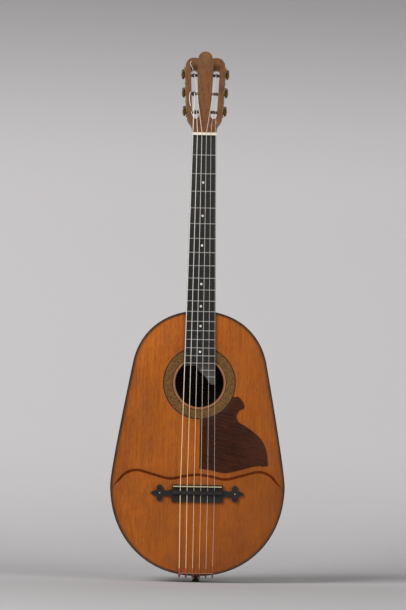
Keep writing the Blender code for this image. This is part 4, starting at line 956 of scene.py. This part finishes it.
def key_tone(tree, colour):
    """Brass that shows on both faces of the dark keys' buttons."""
    place, parts = object_parts(tree)
    middle = tree.math("MULTIPLY_ADD", parts["Z"], KEY_LEAN, KEY_X)
    reach = tree.math("SUBTRACT", tree.math("ABSOLUTE", parts["X"]), middle)
    face = tree.ramped(tree.math("ABSOLUTE", reach), 0.0008, 0.0026)
    along = tree.vector_math("DOT_PRODUCT", place, KEY_AXIS)
    share = tree.math("MULTIPLY", face, tree.ramped(along, BUTTON_START, BUTTON_START + 0.002))
    return tree.mixed(share, colour, rgba(chosen("key_brass")))


def wire_tone(tree, colour):
    """Greyer wire above the soundhole's lower edge than near the bridge."""
    share = tree.ramped(object_parts(tree)[1]["Z"], HOLE_Z - 0.06, HOLE_Z + 0.02)
    return tree.mixed(share, colour, rgba(chosen("worn_wire")))


def wrapped(name, colour, pitch, metallic, gloss, tint=1.0, depth=0.8, recolour=as_it_is):
    """Close turns of wire or thread, with grooves darker by the depth."""
    tree, shader = new_material(name)
    light = chosen(colour, tint)
    turns = group_node(tree, "close_turns", wrap_group, {
        "Pitch": pitch, "Light": recolour(tree, rgba(light)), "Dark": recolour(tree, rgba(light, depth)),
    })
    tree.fill(shader, {"Base Color": turns.outputs["Color"], "Metallic": metallic, "Roughness": gloss})
    bumped(tree, shader, turns.outputs["Height"], pitch * 0.15)


# Each finish: what makes it, its colours and other values
FINISHES = {
    "soundboard_spruce": (wood, "top_light", "top_dark", dict(
        lines=3300.0, wander=0.5, strength=0.3, patches=0.5, flecks=0.55, gloss=0.28, shine=0.25, grime=0.6,
        recolour=top_painted_light_and_edge)),
    "cove_shade": (wood, "cove", 0.6, dict(patches=0.3, shine=0.08, coat=0.0)),
    "edge_line": (wood, "edge_line", 0.55, dict(patches=0.8, flecks=0.5, shine=0.2)),
    "edge_strip": (wood, "binding", 0.5, dict(strength=0.4)),
    "side_rosewood": (wood, "side_light", "side_dark", dict(
        lines=520.0, wander=1.4, strength=0.6, patches=0.5)),
    "back_rosewood": (wood, "side_light", "side_dark", dict(
        lines=420.0, wander=1.9, strength=0.6, patches=0.6, matched=True, recolour=joint_tone)),
    "ring_maple": (wood, "ring", 0.6, dict(lines=1500.0, recolour=ring_tone)),
    "rosette_inlay": (mottled_inlay, "rosette", {}),
    "guard_rosewood": (wood, "guard", 0.4, dict(
        lines=900.0, wander=2.2, patches=1.0, flecks=0.9, coat=0.05, shine=0.16,
        turn=(0, math.radians(78), 0))),
    "neck_walnut": (wood, "neck_light", "neck_dark", dict(
        lines=520.0, wander=0.7, strength=0.32, patches=0.9, flecks=0.9, recolour=head_tone)),
    "board_ebony": (wood, "ebony", 0.45, dict(
        lines=900.0, strength=0.3, coat=0.05, gloss=0.4, recolour=board_tone)),
    "bridge_ebony": (wood, "ebony", 0.4, dict(tint=0.75, coat=0.05, gloss=0.42, turn=(0, math.pi / 2, 0))),
    "turned_button": (wood, "button", 0.4, dict(lines=1600.0, gloss=0.2, coat=0.4)),
    "dusty_inside": (wood, "inside", 0.6, dict(gloss=0.7, coat=0.0, shine=0.1)),
    "bare_spruce": (wood, "bare", 0.7, dict(gloss=0.6, coat=0.0)),
    "nut_bone": (bone, "nut", {}),
    "saddle_bone": (bone, "bone", {}),
    "tail_bone": (bone, "tail", {}),
    "pearl": (bone, "pearl", {}),
    "fret_wire": (metal, "fret", dict(gloss=0.32, wear=0.25, metallic=0.45)),
    "plain_wire": (metal, "plain", dict(wear=0.1, metallic=0.2)),
    "tarnished_brass": (metal, "brass", dict(wear=0.55, grime=BRASS_GRIME)),
    "gear_brass": (metal, "gear", dict(gloss=0.34, wear=0.6, grime=GEAR_GRIME)),
    "dark_steel": (metal, "steel", dict(gloss=0.34, wear=0.5, grime=STEEL_GRIME)),
    "key_steel": (metal, "steel", dict(gloss=0.34, grime=STEEL_GRIME, recolour=key_tone)),
    "roller_steel": (metal, "steel", dict(tint=0.25, gloss=0.4, wear=0.5, grime=ROLLER_GRIME)),
    "wound_wire": (wrapped, "wound", WIRE_PITCH, 0.0, 0.4, dict(depth=0.9, recolour=wire_tone)),
    # The string's turns on the rollers, drawn near-black
    "dull_wire": (wrapped, "wound", WIRE_PITCH, 0.3, 0.5, dict(tint=0.12)),
    "string_silk": (wrapped, "silk", SILK_PITCH, 0.0, 0.75, {}),
}


def finish(name):
    """The finish by that name, made when a piece first asks for it."""
    if name not in bpy.data.materials:
        maker, *given, values = FINISHES[name]
        maker(name, *given, **values)
    return bpy.data.materials[name]


# Body

def soundboard_mesh():
    loop = full_outline(BINDING_WIDTH + SEAT_GAP)
    upper = above_wave(loop)
    whole = plate_mesh([loop, circle(RING_RADIUS + SEAT_GAP)], LOWER_DECK_Y, TOP_INSIDE_Y, ease=0.0)
    wave = wave_between(upper[-1][0], upper[0][0])
    raised = plate_mesh([upper + wave, circle(ROSETTE_RADIUS + SEAT_GAP)], UPPER_DECK_Y,
                        LOWER_DECK_Y + SEAT_GAP, ease=0.0006)
    return joined([whole, raised])


def band_mesh(start, width, low_deck, high_deck, ease):
    """A band inside the body's outline, all round on the lower deck and raised above the wavy step."""
    outer, inner = full_outline(start), full_outline(start + width)
    whole = plate_mesh([outer, inner], *low_deck, ease=ease)
    raised = plate_mesh([above_wave(outer) + above_wave(inner)[::-1]], *high_deck, ease=ease)
    return joined([whole, raised])


def cove_mesh():
    """The dark hollow at the foot of the wavy step, which thins out near the soundboard's edges. Its dark
    brown is partly painted shadow of the raised deck and partly dark varnish gathered in the corner.
    """
    upper = above_wave(full_outline(BINDING_WIDTH + SEAT_GAP))
    left, right = upper[-1][0] + COVE_END, upper[0][0] - COVE_END
    points = np.array([(left, wave_height(left)), *wave_between(left, right), (right, wave_height(right))])
    along = directions(points)
    down = np.stack([along[:, 1], -along[:, 0]], axis=1)
    wide = size("cove")
    section = [(-0.0003, LOWER_DECK_Y + 0.0001), (-0.0003, UPPER_DECK_Y + 0.0005),
               (0.0004, UPPER_DECK_Y + 0.0010), (wide, LOWER_DECK_Y - 0.00003), (wide, LOWER_DECK_Y + 0.0001)]
    mesh = bpy.data.meshes.new("cove")
    with edited(mesh) as work:
        rings = []
        for spot, way in zip(points, down):
            share = min(1.0, 0.2 + min(spot[0] - left, right - spot[0]) / COVE_THIN)
            ring = []
            for reach, y in section:
                x, z = spot + way * (reach * share if reach > 0 else reach)
                ring.append(work.verts.new((x, y, RIM_Z + z)))
            rings.append(ring)
        skinned(work, rings)
    return tidied(mesh)


class GUITAR_OT_soundboard(bpy.types.Operator):
    """Adds the soundboard with its wavy step, and the strip round its edge"""
    bl_idname = "guitar.soundboard"
    bl_label = "Soundboard"

    def execute(self, context):
        piece("stepped_top", soundboard_mesh(), ["soundboard_spruce"], ["soundboard"])
        piece("step_cove", cove_mesh(), ["cove_shade"])
        strip = band_mesh(0.0, BINDING_WIDTH, (LOWER_DECK_Y, TOP_INSIDE_Y),
                          (UPPER_DECK_Y, LOWER_DECK_Y + SEAT_GAP), 0.0003)
        piece("edge_strip", strip, ["edge_strip"], ["binding"])
        low_deck, high_deck = ((y - LINE_RISE, y + SEAT_GAP) for y in (LOWER_DECK_Y, UPPER_DECK_Y))
        line = band_mesh(BINDING_WIDTH, size("edge_line"), low_deck, high_deck, 0.0)
        piece("edge_line", line, ["edge_line"])
        return {"FINISHED"}


class GUITAR_OT_rings(bpy.types.Operator):
    """Adds the soundhole's ring and the mottled rosette"""
    bl_idname = "guitar.rings"
    bl_label = "Soundhole rings"

    def execute(self, context):
        ring = plate_mesh([circle(RING_RADIUS), circle(HOLE_RADIUS)], UPPER_DECK_Y, TOP_INSIDE_Y)
        piece("hole_lining", ring, ["ring_maple"], ["soundhole_ring"])
        low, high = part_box("rosette")
        inlay = plate_mesh([circle(ROSETTE_RADIUS), circle(RING_RADIUS + 2 * SEAT_GAP)], low.y, high.y,
                           ease=0.0001)
        piece("rosette_inlay", inlay, ["rosette_inlay"], ["rosette"])
        return {"FINISHED"}


def faces_inwards(face):
    """Whether a face of the sides or the back looks into the body's hollow."""
    towards = Vector((0, 0, RIM_Z + BODY_LENGTH / 2)) - face.center
    towards.z *= 0.3
    return face.normal.dot(towards) > 0


class GUITAR_OT_body(bpy.types.Operator):
    """Adds the sides, the back and what is glued inside them"""
    bl_idname = "guitar.body"
    bl_label = "Sides and back"

    def execute(self, context):
        for node, wood_name in (("side_left", "side_rosewood"), ("side_right", "side_rosewood"),
                                ("back", "back_rosewood")):
            shell = packed_piece(node + "_shell", node, "side_wood", wood_name, "dusty_inside")
            # The faces inside the body get painted shade
            second_finish(shell, faces_inwards)
        for node in ("upper_brace", "lower_brace", "bridge_plate", "neck_block"):
            packed_piece(node + "_bare", node, "inner_wood", "bare_spruce", ease=EDGE_EASE)
        block = packed_piece("tail_block_bare", "tail_block", "inner_wood", "bare_spruce", "dark_steel")
        second_finish(block, lambda face: face.center.z < RIM_Z + rim_height(face.center.x))
        packed_piece("tail_button", "end_button", "ebony", "turned_button")
        packed_piece("tail_strip", "tail_saddle", "bone", "tail_bone", ease=EDGE_EASE)
        return {"FINISHED"}


class GUITAR_OT_guard(bpy.types.Operator):
    """Adds the dark plate beside the soundhole"""
    bl_idname = "guitar.guard"
    bl_label = "Guard plate"

    def execute(self, context):
        packed_piece("guard_plate", "pickguard", "guard_wood", "guard_rosewood", ease=0.0003)
        return {"FINISHED"}


class GUITAR_OT_neck(bpy.types.Operator):
    """Adds the neck with its heel and slotted head, the fingerboard and the nut"""
    bl_idname = "guitar.neck"
    bl_label = "Neck and board"

    def execute(self, context):
        packed_piece("neck_and_head", "neck", "neck_wood", "neck_walnut")
        packed_piece("playing_board", "fingerboard", "ebony", "board_ebony", ease=EDGE_EASE)
        packed_piece("top_nut", "nut", "bone", "nut_bone")
        return {"FINISHED"}


class GUITAR_OT_frets(bpy.types.Operator):
    """Adds the fret wires by the rule of the twelfth root of two"""
    bl_idname = "guitar.frets"
    bl_label = "Frets"

    def execute(self, context):
        spots, spans, nodes = [], [], []
        for number in range(1, FRET_COUNT + 1):
            node = f"fret_{number:02d}"
            low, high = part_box(node)
            spots.append(((low.x + high.x) / 2, BOARD_LOW.y, RIM_Z + fret_height_up(number)))
            spans.append((high.x - low.x) / 2)
            nodes.append(node)
        values = {"Width": size("fret_wire"), "Height": size("fret_rise")}
        mesh = grown(fret_tree(), spots, values, spans=spans)
        piece("fret_wires", mesh, ["fret_wire"], nodes, angle=50)
        return {"FINISHED"}


class GUITAR_OT_dots(bpy.types.Operator):
    """Adds the dots of the fingerboard and the two on the bridge's wings"""
    bl_idname = "guitar.dots"
    bl_label = "Dots"

    def execute(self, context):
        group = dot_tree()
        board = []
        for number in DOT_FRETS:
            z = RIM_Z + (fret_height_up(number) + fret_height_up(number - 1)) / 2
            board.append((0, BOARD_LOW.y, z))
        mesh = grown(group, board, {"Radius": size("board_dot")})
        piece("board_dots", mesh, ["pearl"])
        wings = [(side * WING_DOT_X, BRIDGE_HIGH.y - WING_DOT_DEPTH, (BRIDGE_LOW.z + BRIDGE_HIGH.z) / 2)
                 for side in (-1, 1)]
        mesh = grown(group, wings, {"Radius": size("wing_dot"), "Rise": WING_DOT_RISE})
        piece("wing_dots", mesh, ["saddle_bone"])
        return {"FINISHED"}


class GUITAR_OT_bridge(bpy.types.Operator):
    """Adds the bridge and its saddle"""
    bl_idname = "guitar.bridge"
    bl_label = "Bridge"

    def execute(self, context):
        packed_piece("bridge_body", "bridge", "ebony", "bridge_ebony")
        packed_piece("bridge_saddle", "saddle", "bone", "saddle_bone")
        return {"FINISHED"}


# Machines and strings

def side_frame(side):
    """At the middle machine on one edge of the head: X across the head, Y to its back, Z up its edge."""
    place = Matrix.Translation((side * CHEEK_X, HEAD_THICKNESS / 2, MIDDLE_MACHINE))
    return HEAD_FRAME @ place @ Matrix.Rotation(side * CHEEK_SLANT, 4, "Y")


class GUITAR_OT_machines(bpy.types.Operator):
    """Adds the machine plates with their screws, the rollers and the worm keys"""
    bl_idname = "guitar.machines"
    bl_label = "Machines"

    def execute(self, context):
        group = screw_tree()
        for side, word in ((-1, "left"), (1, "right")):
            packed_piece(f"plate_{word}", f"machine_plate_{word}", "machine_brass", "tarnished_brass")
            frame_of_side = side_frame(side)
            into_side = frame_of_side.inverted()
            spots = [frame_of_side @ Vector((side * PLATE_FACE, 0, place * MACHINE_SPACING))
                     for place in PLATE_SCREWS]
            turns = [tuple(frame_of_side.to_euler())] * len(spots)
            mesh = grown(group, spots, {"Radius": size("screw")}, turns=turns)
            piece(f"plate_screws_{word}", mesh, ["dark_steel"])
            for number in (1, 2, 3):
                roller = f"roller_{word}_{number}"
                key = f"worm_key_{word}_{number}"
                bar = packed_piece(f"cross_bar_{word}_{number}", roller, "roller_steel", "roller_steel",
                                   "gear_brass", body=roller)
                second_finish(bar, lambda face: side * (into_side @ face.center).x > GEAR_START)
                packed_piece(f"key_{word}_{number}", key, "machine_steel", "key_steel", body=key)
        return {"FINISHED"}


def winding(side, place, radius, offset, start):
    """The string's turns round its roller, beginning where its straight run meets them."""
    frame_of_side = side_frame(side)
    nut_end = frame_of_side.inverted() @ Vector(start)
    wind = ROLLER_RADIUS + SEAT_GAP + radius
    axis_z = place * MACHINE_SPACING
    dy, dz = nut_end.y, nut_end.z - axis_z
    first = math.atan2(dz, dy) - math.acos(wind / math.hypot(dy, dz))
    pitch = 2 * radius + WIND_GAP
    x_start = SLOT_INSET - offset + WIND_TURNS * pitch / 2
    points = []
    for step in range(int(WIND_TURNS * WIND_STEPS) + 1):
        turns = step / WIND_STEPS
        angle = first - 2 * math.pi * turns
        x = -side * (x_start - turns * pitch)
        points.append(frame_of_side @ Vector((x, wind * math.cos(angle), axis_z + wind * math.sin(angle))))
    return points


def loose_end(number, start):
    """The spare wire past a string's turns, whose places are in millimetres from their end."""
    turned = side_frame(STRING_MACHINES[number][0]).to_3x3()
    spots = [Vector(start) + turned @ (Vector(spot) / 1000) for spot in STRING_ENDS.get(number, [])]
    return smooth_through([tuple(spot) for spot in spots], 5)[1:] if spots else []


def hitch_loop(x, radius):
    """The loop round the hitch pin, from its free end up to where the string leaves for the tail strip."""
    turn_radius = PIN_RADIUS + SEAT_GAP + radius
    top = rim_height(x) - STRING_CLEAR - radius
    pitch = 2 * radius + WIND_GAP
    count = int(HITCH_TURNS * HITCH_STEPS)
    points = []
    for step in range(count + 1):
        left = (count - step) / HITCH_STEPS
        angle = 2 * math.pi * left
        y = TOP_INSIDE_Y + PIN_INSET + turn_radius * math.sin(angle)
        points.append((x + turn_radius * math.cos(angle), y, RIM_Z + top - left * pitch))
    return points


def string_route(number):
    """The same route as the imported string's, with more steps where it turns."""
    radius = STRING_RADII[number]
    share = 0.5 - number / (len(STRING_RADII) - 1)
    at_nut, at_saddle, at_tail = share * NUT_SPREAD, share * SADDLE_SPREAD, share * TAIL_SPREAD
    side, place, offset = STRING_MACHINES[number]
    rim = RIM_Z + rim_height(at_tail)
    tail_y = TAIL_LOW.y - SEAT_GAP - radius
    tail_z = (TAIL_LOW.z + TAIL_HIGH.z) / 2
    seat_y = BOARD_LOW.y - STRING_ACTION - radius
    hole_y = LOWER_DECK_Y - SEAT_GAP - STRING_HOLE_HEIGHT
    saddle_z = (SADDLE_LOW.z + SADDLE_HIGH.z) / 2
    step_x = at_tail + PIN_RADIUS + SEAT_GAP + radius
    below = rim - STRING_CLEAR - radius
    route = hitch_loop(at_tail, radius)
    route += [
        (step_x, LOWER_DECK_Y + 2 * STRING_CLEAR, below),
        (step_x, LOWER_DECK_Y - STRING_CLEAR - radius / 2, below + STRING_CLEAR),
        (step_x, LOWER_DECK_Y - TAIL_BEND - radius, rim + STRING_CLEAR),
        (at_tail, tail_y, tail_z - STRING_CLEAR), (at_tail, tail_y, tail_z + STRING_CLEAR),
        (at_saddle, hole_y, RIM_Z + RIDGE_LOW_Z), (at_saddle, hole_y, RIM_Z + RIDGE_HIGH_Z + RIDGE_ROUND),
        (at_saddle, seat_y, saddle_z - SADDLE_BEFORE), (at_saddle, seat_y, saddle_z + SADDLE_AFTER),
        (at_nut, seat_y, NUT_LOW.z - SEAT_GAP - STRING_CLEAR), (at_nut, seat_y, HEAD_Z + STRING_CLEAR),
    ]
    route += [tuple(p) for p in winding(side, place, radius, offset, route[-1])]
    return route + loose_end(number, route[-1])


def split_long_run(route):
    """The route with more points on its first long stretch, so that the silk can end part way up."""
    apart, until = 0.004, 0.03
    out = [route[0]]
    for a, b in zip(route, route[1:]):
        length = math.dist(a, b)
        if length > 0.1 and b[2] < 0.2:
            count = int(until / apart)
            out += [tuple(Vector(a).lerp(Vector(b), until / length * i / count)) for i in range(1, count + 1)]
        out.append(b)
    return out


class GUITAR_OT_strings(bpy.types.Operator):
    """Adds the six strings, each from its hitch pin to its turns on a roller, with silk at the tail"""
    bl_idname = "guitar.strings"
    bl_label = "Strings"

    def execute(self, context):
        for number, radius in enumerate(STRING_RADII):
            route = split_long_run(string_route(number))
            start = len(hitch_loop(0.0, radius))
            mesh, run = tube_mesh(route, radius)
            silk_end = run[start] + size("silk")
            kind = "plain" if number < PLAIN_STRINGS else "wound"
            obj = piece(f"strung_{number + 1}", mesh, [kind + "_wire", "string_silk", "dull_wire"],
                        [f"string_{number + 1}"], angle=60)
            last_turn = len(route) - 1 - len(loose_end(number, (0, 0, 0)))
            first_turn = last_turn - int(WIND_TURNS * WIND_STEPS)
            layer = obj.data.uv_layers["along"]
            for face in obj.data.polygons:
                v = max(layer.data[i].uv.y for i in face.loop_indices) - MAP_SLACK
                if face.loop_total == 4:
                    on_roller = run[first_turn] < v < run[last_turn]
                    face.material_index = 1 if v < silk_end else 2 if on_roller else 0
        return {"FINISHED"}


# Stage

def backdrop_mesh():
    """Seamless paper: a floor that curves up into a wall."""
    near, depth, height, bend, half = -5.5, 1.3, 3.4, 0.7, 4.0
    profile = [(near, 0.0)]
    for angle in np.radians(np.linspace(0, 90, 25)):
        profile.append((depth - bend + bend * math.sin(angle), bend - bend * math.cos(angle)))
    profile.append((depth, height))
    verts = [(x, y, z) for y, z in profile for x in (-half, half)]
    faces = [(2 * i, 2 * i + 1, 2 * i + 3, 2 * i + 2) for i in range(len(profile) - 1)]
    mesh = bpy.data.meshes.new("backdrop")
    mesh.from_pydata(verts, [], faces)
    mesh.shade_smooth()
    return mesh


def backdrop_material(colour):
    """Paper with painted shade that darkens it far up and down the wall, and painted light that lightens the
    floor behind the guitar where its shadow falls; the camera doesn't see it from behind.
    """
    tree, shader = new_material("seamless_paper")
    place, parts = object_parts(tree)
    mixed = tree.mixed(tree.noise(place, 3.0, 1.0), rgba(colour, 0.99), rgba(colour, 1.01))
    away = tree.math("ABSOLUTE", tree.math("SUBTRACT", parts["Z"], 0.48))
    # Painted light: lighter behind the guitar, where its shadow falls on the floor
    lift = tree.math("MULTIPLY", tree.ramped(parts["Y"], -0.25, 0.15, 1.0, 1.13),
                     tree.ramped(parts["Y"], 0.7, 1.29, 1.0, 0.87))
    # Painted shade: darker far up and down the wall
    level = tree.math("MULTIPLY", tree.ramped(away, 0.22, 0.85, 1.0, 0.41), lift)
    tree.fill(shader, {"Base Color": tree.mixed(1.0, mixed, level, blend_type="MULTIPLY"), "Roughness": 0.9,
                       "Specular IOR Level": 0.1})
    behind = tree.add("ShaderNodeNewGeometry").outputs["Backfacing"]
    seen = tree.add("ShaderNodeLightPath").outputs["Is Camera Ray"]
    clear = tree.add("ShaderNodeBsdfTransparent")
    either = tree.add("ShaderNodeMixShader", {
        0: tree.math("MULTIPLY", behind, seen), 1: shader.outputs[0], 2: clear.outputs[0],
    })
    tree.fill(tree.tree.nodes["Material Output"], {"Surface": either.outputs[0]})
    return bpy.data.materials["seamless_paper"]


def studio_world():
    """Dim even light all round, which the camera sees as pale grey."""
    world = bpy.data.worlds.new("studio")
    world.use_nodes = True
    tree = Tree(world.node_tree)
    light = world.node_tree.nodes["Background"]
    tree.fill(light, {"Color": (0.95, 0.95, 0.94, 1), "Strength": 0.22})
    pale = tree.add("ShaderNodeBackground", {"Color": rgba(OPEN_SKY), "Strength": 1.0})
    seen = tree.add("ShaderNodeLightPath").outputs["Is Camera Ray"]
    either = tree.add("ShaderNodeMixShader", {0: seen, 1: light.outputs[0], 2: pale.outputs[0]})
    tree.fill(world.node_tree.nodes["World Output"], {"Surface": either.outputs[0]})
    return world


def add_lamp(name, place, spread, power):
    """A soft lamp that faces the middle of the guitar."""
    data = bpy.data.lights.new(name, "AREA")
    data.shape = "RECTANGLE"
    data.size, data.size_y = spread
    data.energy = power
    lamp = linked(name, data)
    lamp.location = place
    lamp.rotation_euler = (Vector(STAGE_MIDDLE) - Vector(place)).to_track_quat("-Z", "Y").to_euler()


def add_camera():
    stage = settings("guitar_stage")
    data = bpy.data.cameras.new("camera")
    data.lens = stage.lens
    camera = linked("camera", data)
    place = Matrix.Translation((CAMERA_X, BOARD_LOW.y - stage.distance, stage.aim_height))
    camera.matrix_world = place @ FRONT @ Matrix.Rotation(stage.roll, 4, "Z")
    bpy.context.scene.camera = camera


class GUITAR_OT_stage(bpy.types.Operator):
    """Adds the seamless paper, the soft lamps and the camera"""
    bl_idname = "guitar.stage"
    bl_label = "Stage"

    def execute(self, context):
        paper = linked("seamless_paper", backdrop_mesh())
        paper.data.materials.append(backdrop_material(settings("guitar_stage").backdrop))
        for lamp, values in LAMPS.items():
            add_lamp(lamp, *values)
        bpy.context.scene.world = studio_world()
        bpy.context.scene.view_settings.view_transform = "Standard"
        add_camera()
        return {"FINISHED"}


class GUITAR_PT_panel(bpy.types.Panel):
    """Lists the guitar's settings and pieces"""
    bl_label = "Hawaiian guitar"
    bl_idname = "GUITAR_PT_panel"
    bl_space_type = "VIEW_3D"
    bl_region_type = "UI"
    bl_category = "Guitar"

    def draw(self, context):
        for operator in OPERATORS:
            self.layout.operator(operator.bl_idname)
        for group in SETTINGS:
            box = self.layout.box()
            values = getattr(context.scene, group)
            for name in values.__annotations__:
                box.prop(values, name)


OPERATORS = (
    GUITAR_OT_stage, GUITAR_OT_soundboard, GUITAR_OT_rings, GUITAR_OT_body, GUITAR_OT_guard, GUITAR_OT_neck,
    GUITAR_OT_frets, GUITAR_OT_dots, GUITAR_OT_bridge, GUITAR_OT_machines, GUITAR_OT_strings,
)
SETTINGS = {
    "guitar_fittings": FittingSizes, "guitar_woods": WoodColours, "guitar_metals": MetalColours,
    "guitar_stage": StageSettings,
}


def register():
    for group in SETTINGS.values():
        bpy.utils.register_class(group)
    for name, group in SETTINGS.items():
        setattr(bpy.types.Scene, name, bpy.props.PointerProperty(type=group))
    for operator in OPERATORS:
        bpy.utils.register_class(operator)
    bpy.utils.register_class(GUITAR_PT_panel)


def unregister():
    bpy.utils.unregister_class(GUITAR_PT_panel)
    for operator in reversed(OPERATORS):
        bpy.utils.unregister_class(operator)
    for name, group in SETTINGS.items():
        delattr(bpy.types.Scene, name)
        bpy.utils.unregister_class(group)


def main():
    register()
    for operator in OPERATORS:
        family, name = operator.bl_idname.split(".")
        getattr(getattr(bpy.ops, family), name)()


if __name__ == "__main__":
    main()
